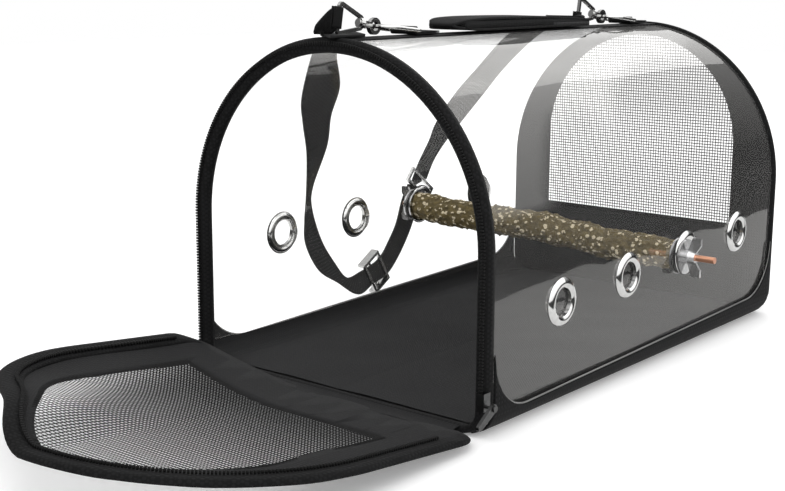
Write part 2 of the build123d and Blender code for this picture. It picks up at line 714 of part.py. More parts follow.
def snap_hook(tab_y):
    """Hook round the D-ring's bar, its mouth cut for the gate, with a stem and rivet for the eye."""
    plane = clip_plane(tab_y)
    outer = HOOK_INNER + HOOK_WIRE
    with BuildPart() as hook:
        with BuildSketch(plane):
            Circle(outer)
            with Locations((STEM_START / 2, 0)):
                Rectangle(STEM_START, 2 * SHANK_HALF)
            Circle(HOOK_INNER, mode=Mode.SUBTRACT)
            add(sector(GATE_START_DEG, GATE_END_DEG, 2 * outer), mode=Mode.SUBTRACT)
            with Locations(polar(HOOK_MIDDLE, GATE_START_DEG)):
                Circle(HOOK_WIRE / 2 + GATE_GAP, mode=Mode.SUBTRACT)
            add(nose_relief(), mode=Mode.SUBTRACT)
        extrude(amount=HOOK_THICKNESS / 2, both=True)
        with BuildSketch(axle_plane(tab_y, STEM_START)):
            Circle(STEM_RADIUS)
        extrude(amount=RIVET_START - STEM_START + RIVET_LENGTH)
        with BuildSketch(axle_plane(tab_y, RIVET_START)):
            Circle(RIVET_RADIUS)
        extrude(amount=RIVET_LENGTH)
    return hook.part


def hook_gate(tab_y):
    """Sprung gate across the hook's mouth, with its round knuckle."""
    with BuildPart() as gate:
        with BuildSketch(clip_plane(tab_y)):
            Circle(HOOK_INNER + HOOK_WIRE - GATE_INSET)
            Circle(HOOK_INNER + GATE_INSET, mode=Mode.SUBTRACT)
            slack = degrees(GATE_GAP / HOOK_MIDDLE)
            reach = 2 * HOOK_INNER + 2 * HOOK_WIRE
            add(sector(GATE_START_DEG, GATE_END_DEG - slack, reach), mode=Mode.INTERSECT)
            with Locations(polar(HOOK_MIDDLE, GATE_START_DEG)):
                Circle(HOOK_WIRE / 2 - GATE_INSET)
        extrude(amount=HOOK_THICKNESS / 2 - GATE_INSET, both=True)
    return gate.part


def clip_eye(tab_y):
    """Swivel eye: a collar on the stem and a wedge-shaped loop for the strap."""
    far = EYE_BAR_REACH + EYE_WIRE / 2
    with BuildPart() as eye:
        with BuildSketch(clip_plane(tab_y)) as loop:
            with BuildLine():
                Polyline(
                    (COLLAR_START, -EYE_NECK_HALF), (far, -EYE_HALF), (far, EYE_HALF),
                    (COLLAR_START, EYE_NECK_HALF), close=True,
                )
            make_face()
            fillet(loop.vertices(), EYE_CORNER)
            offset(amount=-EYE_WIRE, mode=Mode.SUBTRACT)
        extrude(amount=EYE_WIRE / 2, both=True)
        with BuildSketch(axle_plane(tab_y, COLLAR_START)):
            Circle(COLLAR_RADIUS)
        extrude(amount=COLLAR_LENGTH)
        with BuildSketch(axle_plane(tab_y, COLLAR_START - 1)):
            Circle(STEM_RADIUS + STEM_FIT)
        extrude(amount=COLLAR_LENGTH + CUT_MARGIN, mode=Mode.SUBTRACT)
    return eye.part


def strap_end(tab_y):
    """End of the webbing, folded narrow and sewn round the eye's bar."""
    base = clip_plane(tab_y)
    middle = base.origin + base.x_dir * EYE_BAR_REACH - base.y_dir * STRAP_END_WIDTH / 2
    bore = EYE_WIRE / sqrt(2) + SEAT_GAP
    with BuildPart() as end:
        with BuildSketch(Plane(origin=middle, x_dir=base.x_dir, z_dir=base.y_dir)):
            Circle(bore + STRAP_THICKNESS / 2)
            with Locations(((bore + STRAP_END_LEG) / 2, 0)):
                Rectangle(STRAP_END_LEG - bore, STRAP_THICKNESS)
            Circle(bore, mode=Mode.SUBTRACT)
        extrude(amount=STRAP_END_WIDTH)
    return end.part


for tab_y, name in ((FRONT_TAB_Y, "front"), (BACK_TAB_Y, "back")):
    for maker, label in (
        (webbing_tab, "webbing_tab"), (d_ring, "d_ring"), (snap_hook, "snap_hook"),
        (hook_gate, "hook_gate"), (clip_eye, "clip_eye"), (strap_end, "strap_end"),
    ):
        with BuildPart() as piece:
            add(maker(tab_y))
        finish(piece, f"{label}_{name}")

# ================================================================== shoulder strap
leave = radians(STRAP_LEAVE_DEG)


def curtain_points(outward):
    """Crown, leaving point, knee and foot of the strap's face, moved outward, as (x, z)."""
    radius = HALF_WIDTH + STRAP_ROOF_GAP + outward
    hang = STRAP_HANG + outward
    drop = (hang - radius * sin(leave)) / cos(leave)
    crown = (0, SPRING_Z + radius)
    middle = (-radius * sin(leave / 2), SPRING_Z + radius * cos(leave / 2))
    leaving = (-radius * sin(leave), SPRING_Z + radius * cos(leave))
    knee = (-hang, leaving[1] - drop * sin(leave))
    return crown, middle, leaving, knee, (-hang, STRAP_BOTTOM)


with BuildPart() as curtain:
    inner = curtain_points(0)
    outer = curtain_points(STRAP_THICKNESS)
    with BuildSketch(station(HALF_LENGTH)):
        with BuildLine():
            ThreePointArc(inner[0], inner[1], inner[2])
            Polyline(inner[2], inner[3], inner[4], outer[4], outer[3], outer[2])
            ThreePointArc(outer[2], outer[1], outer[0])
            Line(outer[0], inner[0])
        make_face()
    extrude(amount=CABIN_LENGTH)


def ribbon(points, width):
    """Flat strip of a width along a smooth line through points."""
    with BuildSketch() as strip:
        with BuildLine():
            Spline(*points)
        trace(line_width=width)
    return strip.sketch


def roof_leg(points, split):
    """Part of the strap over the roof, left of a split line."""
    with BuildPart() as leg:
        add(curtain.part)
        with BuildSketch(Plane.XY.offset(STRAP_ROOF_Z)):
            add(ribbon(points, ROOF_LEG_WIDTH))
            with Locations((CABIN_WIDTH / 2 - split, 0)):
                Rectangle(CABIN_WIDTH, 2 * CABIN_LENGTH, mode=Mode.SUBTRACT)
        extrude(amount=CABIN_HEIGHT, mode=Mode.INTERSECT)
    return leg.part


def wall_leg(points, width):
    """Part of the strap that hangs beside the left wall."""
    with BuildPart() as leg:
        add(curtain.part)
        with BuildSketch(side(0)):
            add(ribbon(points, width))
            keep = STRAP_ROOF_Z + CABIN_HEIGHT
            with Locations((0, keep)):
                Rectangle(2 * CABIN_LENGTH, 2 * CABIN_HEIGHT, mode=Mode.SUBTRACT)
        extrude(amount=-2 * STRAP_HANG, mode=Mode.INTERSECT)
    return leg.part


with BuildPart() as strap_long:
    add(roof_leg(FRONT_LEG_ROOF, STRAP_SPLIT_X))
    add(wall_leg(FRONT_LEG_SIDE, FRONT_LEG_WIDTH))
finish(strap_long, "strap_long")

PLY_LOW = SPRING_Z + HALF_WIDTH + STRAP_ROOF_GAP
PLY_HIGH = PLY_LOW + FOLD_RISE + STRAP_THICKNESS
FOLD_RADIUS = (PLY_HIGH - PLY_LOW) / 2

with BuildPart() as strap_short:
    with BuildSketch(side(-STRAP_WIDTH / 2)):
        with Locations(((FOLD_FRONT_Y + FOLD_BACK_Y) / 2, PLY_LOW + FOLD_RADIUS)):
            SlotOverall(FOLD_BACK_Y - FOLD_FRONT_Y + 2 * FOLD_RADIUS, 2 * FOLD_RADIUS)
            SlotOverall(
                FOLD_BACK_Y - FOLD_FRONT_Y + 2 * (FOLD_RADIUS - STRAP_THICKNESS),
                2 * (FOLD_RADIUS - STRAP_THICKNESS), mode=Mode.SUBTRACT,
            )
        with Locations((FOLD_BACK_Y + FOLD_RADIUS, PLY_LOW + FOLD_RADIUS)):
            Rectangle(2 * FOLD_RADIUS, 2 * FOLD_RADIUS, mode=Mode.SUBTRACT)
    extrude(amount=STRAP_WIDTH)
    add(roof_leg(BACK_LEG_ROOF, 0))
    add(wall_leg(BACK_LEG_SIDE, BACK_LEG_WIDTH))
finish(strap_short, "strap_short")


def buckle_plane(centre, slope_deg, x):
    """Plane beside the strap at a point of its lie: local x runs along the strap, facing +X."""
    slope = radians(slope_deg)
    return Plane(origin=(x, centre[0], centre[1]), x_dir=(0, cos(slope), sin(slope)), z_dir=(1, 0, 0))


STRAP_IN_X = -STRAP_HANG + GLIDE_GAP
STRAP_OUT_X = -STRAP_HANG - STRAP_THICKNESS - GLIDE_GAP
GLIDE_CLEAR = FRONT_LEG_WIDTH + 2 * GLIDE_SIDE_GAP

with BuildPart() as tri_glide:
    with BuildSketch(buckle_plane(GLIDE_CENTRE, GLIDE_SLOPE_DEG, STRAP_IN_X)):
        Rectangle(GLIDE_LENGTH, GLIDE_CLEAR + 2 * GLIDE_WIRE)
        Rectangle(GLIDE_LENGTH - 2 * GLIDE_WIRE, GLIDE_CLEAR, mode=Mode.SUBTRACT)
    extrude(amount=GLIDE_WIRE)
    with BuildSketch(buckle_plane(GLIDE_CENTRE, GLIDE_SLOPE_DEG, STRAP_OUT_X - GLIDE_WIRE)):
        Rectangle(GLIDE_LENGTH, GLIDE_CLEAR + 2 * GLIDE_WIRE)
        Rectangle(GLIDE_LENGTH, GLIDE_CLEAR, mode=Mode.SUBTRACT)
        Rectangle(GLIDE_WIRE, GLIDE_CLEAR + 2 * GLIDE_WIRE)
    extrude(amount=GLIDE_WIRE)
    with BuildSketch(buckle_plane(GLIDE_CENTRE, GLIDE_SLOPE_DEG, STRAP_OUT_X)):
        Rectangle(GLIDE_LENGTH, GLIDE_CLEAR + 2 * GLIDE_WIRE)
        Rectangle(GLIDE_LENGTH, GLIDE_CLEAR, mode=Mode.SUBTRACT)
    extrude(amount=STRAP_IN_X - STRAP_OUT_X)
finish(tri_glide, "tri_glide")

with BuildPart() as strap_ring:
    with BuildSketch(buckle_plane(RING_CENTRE, RING_SLOPE_DEG, STRAP_IN_X)):
        Rectangle(RING_LENGTH, BACK_LEG_WIDTH + 2 * GLIDE_WIRE)
        Rectangle(RING_LENGTH - 2 * GLIDE_WIRE, BACK_LEG_WIDTH, mode=Mode.SUBTRACT)
    extrude(amount=GLIDE_WIRE)
finish(strap_ring, "strap_ring")
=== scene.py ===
"""Looks of a bird travel carrier: soft black goods, clear film, plated hardware and a branch perch."""

import json
import logging
import math
from dataclasses import dataclass, field, replace
from enum import Enum
from typing import Callable

import bmesh
import bpy
from mathutils import Matrix, Vector, noise

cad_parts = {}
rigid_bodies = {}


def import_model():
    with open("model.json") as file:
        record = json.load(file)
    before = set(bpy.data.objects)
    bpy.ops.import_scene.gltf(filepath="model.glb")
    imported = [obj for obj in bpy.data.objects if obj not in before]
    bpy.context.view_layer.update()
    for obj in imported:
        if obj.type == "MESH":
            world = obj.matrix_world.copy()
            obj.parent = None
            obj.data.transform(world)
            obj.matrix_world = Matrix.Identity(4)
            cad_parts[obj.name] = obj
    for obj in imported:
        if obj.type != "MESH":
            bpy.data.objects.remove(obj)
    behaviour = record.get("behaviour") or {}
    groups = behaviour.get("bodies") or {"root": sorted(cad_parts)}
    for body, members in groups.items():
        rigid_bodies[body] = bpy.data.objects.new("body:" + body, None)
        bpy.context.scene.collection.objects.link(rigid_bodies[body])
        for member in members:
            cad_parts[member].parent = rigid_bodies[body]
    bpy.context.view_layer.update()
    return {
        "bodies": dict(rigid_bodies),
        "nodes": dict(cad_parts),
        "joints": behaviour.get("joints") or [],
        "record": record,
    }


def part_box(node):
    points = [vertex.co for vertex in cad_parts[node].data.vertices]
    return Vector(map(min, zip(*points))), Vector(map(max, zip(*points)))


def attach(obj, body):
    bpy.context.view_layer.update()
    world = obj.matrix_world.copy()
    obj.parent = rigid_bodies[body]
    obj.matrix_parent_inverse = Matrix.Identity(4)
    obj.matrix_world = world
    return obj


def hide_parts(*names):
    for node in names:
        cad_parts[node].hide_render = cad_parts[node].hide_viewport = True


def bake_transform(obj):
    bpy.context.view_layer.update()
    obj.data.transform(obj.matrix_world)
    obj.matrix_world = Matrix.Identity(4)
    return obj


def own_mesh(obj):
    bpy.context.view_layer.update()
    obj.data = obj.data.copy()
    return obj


log = logging.getLogger("carrier")

MM = 0.001
# Driving sizes of the cabin, as in the solids (metres).
LENGTH = 0.430
WIDTH = 0.265
HEIGHT = 0.249
CORNER = 0.021
HALF_WIDTH = WIDTH / 2
HALF_LENGTH = LENGTH / 2
HOOP_WIDTH = 0.0102
HOOP_DEPTH = 0.008
BODY_HALF = HALF_LENGTH - HOOP_DEPTH
SPRING_Z = HEIGHT - HALF_WIDTH
HOOP_FOOT = 0.0003
FLOOR_TOP = 0.0057
FILM_INSET = 0.00195
SILL = 0.017
SILL_RISE_REAR = 0.009
SILL_CORNER = 0.042
ROOF_TOP = 0.2487
# Half the width of the mesh windows, and how close two vertices are welded.
WINDOW_HALF = 0.094
WELD = 1e-6


class Axis3(Enum):
    """The three axes of the frame."""

    X = Vector((1, 0, 0))
    Y = Vector((0, 1, 0))
    Z = Vector((0, 0, 1))


# ------------------------------------------------------------------ mesh tools
class Wire:
    """A chain of edges grown from one point by straight runs and arcs."""

    def __init__(self, bm: bmesh.types.BMesh, start: Vector) -> None:
        """Starts the chain.

        Args:
            bm: mesh that takes the chain.
            start: first point.
        """
        self.bm = bm
        self.tip = bm.verts.new(start)
        self.edges: list[bmesh.types.BMEdge] = []

    def _spin(self, centre: Vector, axis: Vector, step: Vector, angle: float, steps: int) -> None:
        """Grows the chain with one spin; keeps its edges and its new tip."""
        before = set(self.bm.edges)
        result = bmesh.ops.spin(
            self.bm, geom=[self.tip], cent=centre, axis=axis, dvec=step, angle=angle, steps=steps
        )
        self.edges += [edge for edge in self.bm.edges if edge not in before]
        self.tip = [item for item in result["geom_last"] if isinstance(item, bmesh.types.BMVert)][0]

    def line(self, travel: Vector, steps: int = 1) -> None:
        """Adds a straight run.

        Args:
            travel: from the tip to the run's end.
            steps: edges in the run.
        """
        self._spin(self.tip.co, Axis3.Z.value, travel / steps, 0.0, steps)

    def arc(self, centre: Vector, axis: Vector, angle: float, steps: int) -> None:
        """Adds an arc round a centre.

        Args:
            centre: point on the arc's axis.
            axis: direction of the axis.
            angle: turn in radians.
            steps: edges in the arc.
        """
        self._spin(centre, axis, Vector((0, 0, 0)), angle, steps)

    def close(self) -> list:
        """Welds the chain's last point to its first.

        Returns:
            The closed loop's edges.
        """
        corners = dict.fromkeys(vert for edge in self.edges for vert in edge.verts)
        others = set(self.bm.edges) - set(self.edges)
        bmesh.ops.remove_doubles(self.bm, verts=list(corners), dist=WELD)
        return [edge for edge in self.bm.edges if edge not in others]

    def sweep(self, step: Vector, steps: int) -> None:
        """Sweeps the chain sideways into a strip.

        Args:
            step: travel of each step.
            steps: cells across the strip.
        """
        bm = self.bm
        bmesh.ops.spin(bm, geom=self.edges, cent=(0, 0, 0), axis=(0, 0, 1), dvec=step, angle=0, steps=steps)
        bmesh.ops.remove_doubles(bm, verts=bm.verts, dist=WELD)
        bmesh.ops.recalc_face_normals(bm, faces=bm.faces)


def tunnel_loop(bm: bmesh.types.BMesh, inset: float, y: float, floor: float | None = None) -> list:
    """Closed outline of the cabin's section, moved inward.

    Args:
        bm: mesh that takes the loop.
        inset: distance inside the outer skin.
        y: station along the cabin.
        floor: height of its flat bottom, or None for the inset itself.

    Returns:
        The loop's edges.
    """
    low = inset if floor is None else floor
    half = HALF_WIDTH - inset
    radius = max(CORNER - inset, 0.002)
    flat = half - radius
    down = -Axis3.Y.value
    wire = Wire(bm, Vector((-flat, y, low)))
    wire.line(Vector((2 * flat, 0, 0)), 10)
    wire.arc(Vector((flat, y, low + radius)), down, math.pi / 2, 8)
    wire.line(Vector((0, 0, SPRING_Z - low - radius)), 8)
    wire.arc(Vector((0, y, SPRING_Z)), down, math.pi, 72)
    wire.line(Vector((0, 0, low + radius - SPRING_Z)), 8)
    wire.arc(Vector((-flat, y, low + radius)), down, math.pi / 2, 8)
    return wire.close()


def station(share: float) -> float:
    """Place along the cabin's body at a share of its length."""
    return -BODY_HALF + 2 * BODY_HALF * share


def window_loop(bm: bmesh.types.BMesh, sill: float, top: float, growth: float, y: float) -> list:
    """Closed arch outline of a mesh window.

    Args:
        bm: mesh that takes the loop.
        sill: height of its flat bottom.
        top: height of its crown.
        growth: distance the outline is grown outward.
        y: station along the cabin.

    Returns:
        The loop's edges.
    """
    half = WINDOW_HALF
    wire = Wire(bm, Vector((-half - growth, y, sill - growth)))
    wire.line(Vector((2 * (half + growth), 0, 0)), 24)
    wire.line(Vector((0, 0, top - half - sill + growth)), 12)
    wire.arc(Vector((0, y, top - half)), -Axis3.Y.value, math.pi, 60)
    wire.line(Vector((0, 0, sill - growth - top + half)), 12)
    return wire.close()


def loft(bm: bmesh.types.BMesh, loops: list[list], closed: bool = False) -> None:
    """Joins a row of closed loops with faces.

    Args:
        bm: mesh that holds the loops.
        loops: the loops' edges, in order.
        closed: whether the last loop joins the first.
    """
    pairs = list(zip(loops, loops[1:]))
    if closed:
        pairs.append((loops[-1], loops[0]))
    for first, second in pairs:
        bmesh.ops.bridge_loops(bm, edges=first + second)


def grid(columns: int, rows: int, place: Callable[[float, float], Vector]) -> bmesh.types.BMesh:
    """Sheet of quads whose every vertex is placed by a rule.

    Args:
        columns: cells across.
        rows: cells along.
        place: gives the point for shares (u across, v along), each 0 to 1.

    Returns:
        The sheet, with a UV map of the same shares.
    """
    bm = bmesh.new()
    bm.loops.layers.uv.new("UVMap")
    bmesh.ops.create_grid(bm, x_segments=columns, y_segments=rows, size=0.5, calc_uvs=True)
    for vert in bm.verts:
        vert.co = place(vert.co.x + 0.5, vert.co.y + 0.5)
    return bm


def smooth_curve(points: list[Vector], share: float) -> Vector:
    """Point at a share of a Catmull-Rom line through points."""
    span = share * (len(points) - 1)
    index = min(int(span), len(points) - 2)
    local = span - index
    before = points[max(index - 1, 0)]
    start, end = points[index], points[index + 1]
    after = points[min(index + 2, len(points) - 1)]
    square, cube = local * local, local ** 3
    return 0.5 * (
        2 * start
        + (end - before) * local
        + (2 * before - 5 * start + 4 * end - after) * square
        + (3 * start - 3 * end + after - before) * cube
    )


def settle(
    bm: bmesh.types.BMesh, name: str, finish: bpy.types.Material, flip: bool = False
) -> bpy.types.Object:
    """Turns a finished bmesh into a smooth-shaded object.

    Args:
        bm: the finished mesh; it is freed.
        name: the object's name.
        finish: its material.
        flip: whether its faces are turned over.

    Returns:
        The linked object.
    """
    if flip:
        bmesh.ops.reverse_faces(bm, faces=bm.faces)
    mesh = bpy.data.meshes.new(name)
    bm.to_mesh(mesh)
    bm.free()
    mesh.materials.append(finish)
    mesh.shade_smooth()
    piece = bpy.data.objects.new(name, mesh)
    bpy.context.scene.collection.objects.link(piece)
    return piece


def thicken(piece: bpy.types.Object, thickness: float, offset: float = -1.0) -> None:
    """Gives a sheet its thickness with a Solidify modifier."""
    shell = piece.modifiers.new("thickness", "SOLIDIFY")
    shell.thickness = thickness
    shell.offset = offset


def place_piece(piece: bpy.types.Object, body: str, slot: str, *nodes: str) -> bpy.types.Object:
    """Rides a piece on its body and hides the solids it stands for."""
    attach(piece, body)
    if nodes:
        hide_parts(*nodes)
    log.info("%s rides on %s", piece.name, body)
    return piece


# ------------------------------------------------------------------ shader tools
class Nodes:
    """Short-hand for building one node tree."""

    def __init__(self, tree: bpy.types.NodeTree) -> None:
        """Takes the tree to build in."""
        self.tree = tree

    def add(self, kind: str, **settings: object) -> bpy.types.Node:
        """Adds a node and sets its properties or sockets by name.

        Args:
            kind: the node's type name.
            **settings: properties, or input sockets with spaces as underscores.

        Returns:
            The new node.
        """
        node = self.tree.nodes.new(kind)
        for key, value in settings.items():
            socket = key.replace("_", " ")
            if socket in node.inputs:
                node.inputs[socket].default_value = value
            else:
                setattr(node, key, value)
        return node

    def join(self, source: bpy.types.NodeSocket, target: bpy.types.NodeSocket) -> None:
        """Links two sockets."""
        self.tree.links.new(source, target)

    def math(self, operation: str, first: object, second: object = 0.0) -> bpy.types.NodeSocket:
        """Adds a Math node.

        Args:
            operation: Blender's name of the operation.
            first: socket or number.
            second: socket or number.

        Returns:
            Its output.
        """
        node = self.tree.nodes.new("ShaderNodeMath")
        node.operation = operation
        for index, value in enumerate((first, second)):
            if isinstance(value, bpy.types.NodeSocket):
                self.join(value, node.inputs[index])
            else:
                node.inputs[index].default_value = value
        return node.outputs[0]

    def blend(self, share: bpy.types.NodeSocket, first: object, second: object) -> bpy.types.NodeSocket:
        """Mixes two colours by a mask.

        Args:
            share: the mask.
            first: colour or socket at 0.
            second: colour or socket at 1.

        Returns:
            The mixed colour.
        """
        node = self.tree.nodes.new("ShaderNodeMix")
        node.data_type = "RGBA"
        self.join(share, node.inputs["Factor"])
        for name, value in (("A", first), ("B", second)):
            socket = [item for item in node.inputs if item.name == name and item.type == "RGBA"][0]
            if isinstance(value, bpy.types.NodeSocket):
                self.join(value, socket)
            else:
                socket.default_value = (*value, 1.0)
        return [item for item in node.outputs if item.type == "RGBA"][0]

    def split(self, vector: bpy.types.NodeSocket) -> bpy.types.bpy_prop_collection:
        """Splits a vector; gives the outputs X, Y and Z."""
        parts = self.add("ShaderNodeSeparateXYZ")
        self.join(vector, parts.inputs[0])
        return parts.outputs

    def wave(self, run: bpy.types.NodeSocket, count: bpy.types.NodeSocket) -> bpy.types.NodeSocket:
        """Adds a sine of a run times a count."""
        return self.math("SINE", self.math("MULTIPLY", run, count))

    def wear(
        self, group: bpy.types.NodeTree, vector: bpy.types.NodeSocket, **sizes: float
    ) -> bpy.types.Node:
        """Adds the wear group over a vector, with its patch and speck sizes."""
        node = self.add("ShaderNodeGroup", node_tree=group)
        for label, size in sizes.items():
            node.inputs[label.replace("_", " ").title()].default_value = size
        self.join(vector, node.inputs["Vector"])
        return node

    def emboss(
        self, shader: bpy.types.Node, height: bpy.types.NodeSocket, strength: float, depth: float
    ) -> None:
        """Joins a height to a shader's normal through a Bump node."""
        bump = self.add("ShaderNodeBump", Strength=strength, Distance=depth)
        self.join(height, bump.inputs["Height"])
        self.join(bump.outputs["Normal"], shader.inputs["Normal"])


def grey(level: float, blue: float = 0.0) -> tuple[float, float, float]:
    """Grey of one level, with a little more or less blue."""
    return level, level, level + blue


def start_material(name: str) -> tuple[bpy.types.Material, Nodes, bpy.types.Node]:
    """Starts a material.

    Args:
        name: the material's name.

    Returns:
        The material, its node short-hand and its Principled shader.
    """
    made = bpy.data.materials.new(name)
    made.use_nodes = True
    return made, Nodes(made.node_tree), made.node_tree.nodes["Principled BSDF"]


def new_group(name: str, inputs: dict[str, float], outputs: tuple[str, ...]) -> tuple:
    """Starts a shader node group.

    Args:
        name: the group's name.
        inputs: float inputs with their defaults; a Vector input is always added.
        outputs: float outputs.

    Returns:
        The group, its node short-hand, its input node and its output node.
    """
    group = bpy.data.node_groups.new(name, "ShaderNodeTree")
    group.interface.new_socket(name="Vector", in_out="INPUT", socket_type="NodeSocketVector")
    for label, value in inputs.items():
        socket = group.interface.new_socket(name=label, in_out="INPUT", socket_type="NodeSocketFloat")
        socket.default_value = value
    for label in outputs:
        group.interface.new_socket(name=label, in_out="OUTPUT", socket_type="NodeSocketFloat")
    nodes = Nodes(group)
    return group, nodes, nodes.add("NodeGroupInput"), nodes.add("NodeGroupOutput")


def weave_group() -> bpy.types.NodeTree:
    """Plain weave: threads over and under each other on all three planes.

    Returns:
        A group giving Height and Mask of the weave.
    """
    group, nodes, source, sink = new_group("plain_weave", {"Threads": 900.0}, ("Height", "Mask"))
    parts = nodes.split(source.outputs["Vector"])
    waves = [nodes.wave(parts[axis], source.outputs["Threads"]) for axis in "XYZ"]
    first = nodes.math("MULTIPLY", waves[0], waves[1])
    second = nodes.math("MULTIPLY", waves[1], waves[2])
    third = nodes.math("MULTIPLY", waves[2], waves[0])
    total = nodes.math("ADD", nodes.math("ADD", first, second), third)
    height = nodes.math("MULTIPLY_ADD", total, 0.25)
    nodes.join(height, sink.inputs["Height"])
    nodes.join(nodes.math("GREATER_THAN", total, 0.0), sink.inputs["Mask"])
    return group


def net_group() -> bpy.types.NodeTree:
    """Square net of threads across X and along the other two axes together.

    Returns:
        A group giving Height and Mask, which is 1 in the open cells.
    """
    group, nodes, source, sink = new_group("net", {"Threads": 1400.0, "Width": 0.36}, ("Height", "Mask"))
    parts = nodes.split(source.outputs["Vector"])
    runs = (parts["X"], nodes.math("ADD", parts["Y"], parts["Z"]))
    waves = [nodes.math("ABSOLUTE", nodes.wave(run, source.outputs["Threads"])) for run in runs]
    nearest = nodes.math("MINIMUM", waves[0], waves[1])
    nodes.join(nodes.math("SUBTRACT", 1.0, nearest), sink.inputs["Height"])
    nodes.join(nodes.math("GREATER_THAN", nearest, source.outputs["Width"]), sink.inputs["Mask"])
    return group


def rib_group() -> bpy.types.NodeTree:
    """Ribs across a strap, from its own UV map.

    Returns:
        A group giving Height and Mask of the ribs.
    """
    group, nodes, source, sink = new_group("ribs", {"Across": 12.0, "Along": 200.0}, ("Height", "Mask"))
    parts = nodes.split(source.outputs["Vector"])
    across = nodes.wave(parts["X"], source.outputs["Across"])
    along = nodes.wave(parts["Y"], source.outputs["Along"])
    total = nodes.math("ADD", nodes.math("MULTIPLY", across, along), along)
    nodes.join(nodes.math("MULTIPLY", total, 0.3), sink.inputs["Height"])
    nodes.join(nodes.math("GREATER_THAN", total, 0.1), sink.inputs["Mask"])
    return group


def wear_group() -> bpy.types.NodeTree:
    """Soft patches of lint, dust and rub.

    Returns:
        A group giving Patch, slow, and Speck, fine.
    """
    sizes = {"Patch Size": 18.0, "Speck Size": 500.0}
    group, nodes, source, sink = new_group("wear", sizes, ("Patch", "Speck"))
    for size, label in (("Patch Size", "Patch"), ("Speck Size", "Speck")):
        cloud = nodes.add("ShaderNodeTexNoise", Detail=4.0)
        nodes.join(source.outputs["Vector"], cloud.inputs["Vector"])
        nodes.join(source.outputs[size], cloud.inputs["Scale"])
        nodes.join(cloud.outputs[0], sink.inputs[label])
    return group


class Space(Enum):
    """Where a pattern is laid out."""

    OBJECT = "Object"
    UV = "UV"


Groups = dict[str, bpy.types.NodeTree]


@dataclass(frozen=True)
class Look:
    """A finish that is built from the shared node groups."""

    name: str

    def paint(self, nodes: Nodes, shader: bpy.types.Node, place: bpy.types.Node, groups: Groups) -> None:
        """Joins the finish's nodes to its shader.

        Args:
            nodes: short-hand for the material's tree.
            shader: its Principled shader.
            place: its texture coordinates.
            groups: the shared node groups by name.
        """
        raise NotImplementedError

    def material(self, groups: Groups) -> bpy.types.Material:
        """Builds the material over the shared groups."""
        made, nodes, shader = start_material(self.name)
        self.paint(nodes, shader, nodes.add("ShaderNodeTexCoord"), groups)
        return made


@dataclass(frozen=True)
class Cloth(Look):
    """Woven black cloth, binding or webbing."""

    dark: tuple[float, float, float]
    light: tuple[float, float, float]
    roughness: float = 0.72
    gloss: float = 0.06
    sheen: float = 0.02
    threads: float = 2600.0
    ribbed: bool = False
    across: float = 60.0
    along: float = 900.0
    rough_swing: float = 0.2
    space: Space = Space.OBJECT
    bump: float = 0.35
    depth: float = 0.0004
    see_through: float = 0.0
    net: bool = False
    thread: float = 0.36
    # Painted shade: how fast the net's threads widen with object Y, darkening the net toward the door's seam
    # where its shadow falls.
    painted_seam_shade: float = 0.0

    def pattern(self) -> str:
        """Name of the group that draws its threads."""
        if self.net:
            return "net"
        return "ribs" if self.ribbed else "plain_weave"

    def paint(self, nodes: Nodes, shader: bpy.types.Node, place: bpy.types.Node, groups: Groups) -> None:
        """Joins the finish's nodes to its shader."""
        shader.inputs["Sheen Weight"].default_value = self.sheen
        shader.inputs["Sheen Roughness"].default_value = 0.4
        shader.inputs["Specular IOR Level"].default_value = self.gloss
        vector = place.outputs[self.space.value]
        pattern = nodes.add("ShaderNodeGroup", node_tree=groups[self.pattern()])
        if self.ribbed:
            pattern.inputs["Across"].default_value = self.across
            pattern.inputs["Along"].default_value = self.along
        else:
            pattern.inputs["Threads"].default_value = self.threads
        nodes.join(vector, pattern.inputs["Vector"])
        if self.net:
            # Painted shade: the thread width grows with object Y, so the net closes up and darkens toward
            # the seam, standing in for the shadow under the door.
            grown = nodes.math("MULTIPLY", nodes.split(place.outputs["Object"])["Y"], self.painted_seam_shade)
            nodes.join(nodes.math("ADD", grown, self.thread), pattern.inputs["Width"])
        wear = nodes.wear(groups["wear"], place.outputs["Object"])
        both = nodes.math("ADD", wear.outputs["Patch"], pattern.outputs["Mask"])
        share = nodes.math("MULTIPLY", both, 0.5)
        nodes.join(nodes.blend(share, self.dark, self.light), shader.inputs["Base Color"])
        swing = nodes.math("MULTIPLY", wear.outputs["Speck"], self.rough_swing)
        rough = nodes.math("ADD", swing, self.roughness - self.rough_swing / 2)
        nodes.join(rough, shader.inputs["Roughness"])
        nodes.emboss(shader, pattern.outputs["Height"], self.bump, self.depth)
        if self.see_through:
            holes = nodes.math("MULTIPLY", pattern.outputs["Mask"], self.see_through)
            nodes.join(nodes.math("SUBTRACT", 1.0, holes), shader.inputs["Alpha"])


@dataclass(frozen=True)
class Metal(Look):
    """Plated or plain metal, whose worn patches also serve as painted reflection mottle."""

    colour: tuple[float, float, float]
    worn_and_reflection_mottle: tuple[float, float, float]
    roughness: float = 0.15
    rough_swing: float = 0.18
    grain: float = 300.0
    bump: float = 0.04
    depth: float = 0.0002

    def paint(self, nodes: Nodes, shader: bpy.types.Node, place: bpy.types.Node, groups: Groups) -> None:
        """Joins the finish's nodes to its shader."""
        shader.inputs["Metallic"].default_value = 1.0
        wear = nodes.wear(
            groups["wear"], place.outputs["Object"], patch_size=self.grain, speck_size=self.grain * 6
        )
        # Worn patches that are also painted reflection: the plating goes light and dark in small patches as
        # if it mirrored its surroundings.
        nodes.join(nodes.blend(wear.outputs["Patch"], self.colour, self.worn_and_reflection_mottle), shader.inputs["Base Color"])
        swing = nodes.math("MULTIPLY", wear.outputs["Patch"], self.rough_swing)
        rough = nodes.math("ADD", swing, self.roughness - self.rough_swing / 2)
        nodes.join(rough, shader.inputs["Roughness"])
        nodes.emboss(shader, wear.outputs["Speck"], self.bump, self.depth)


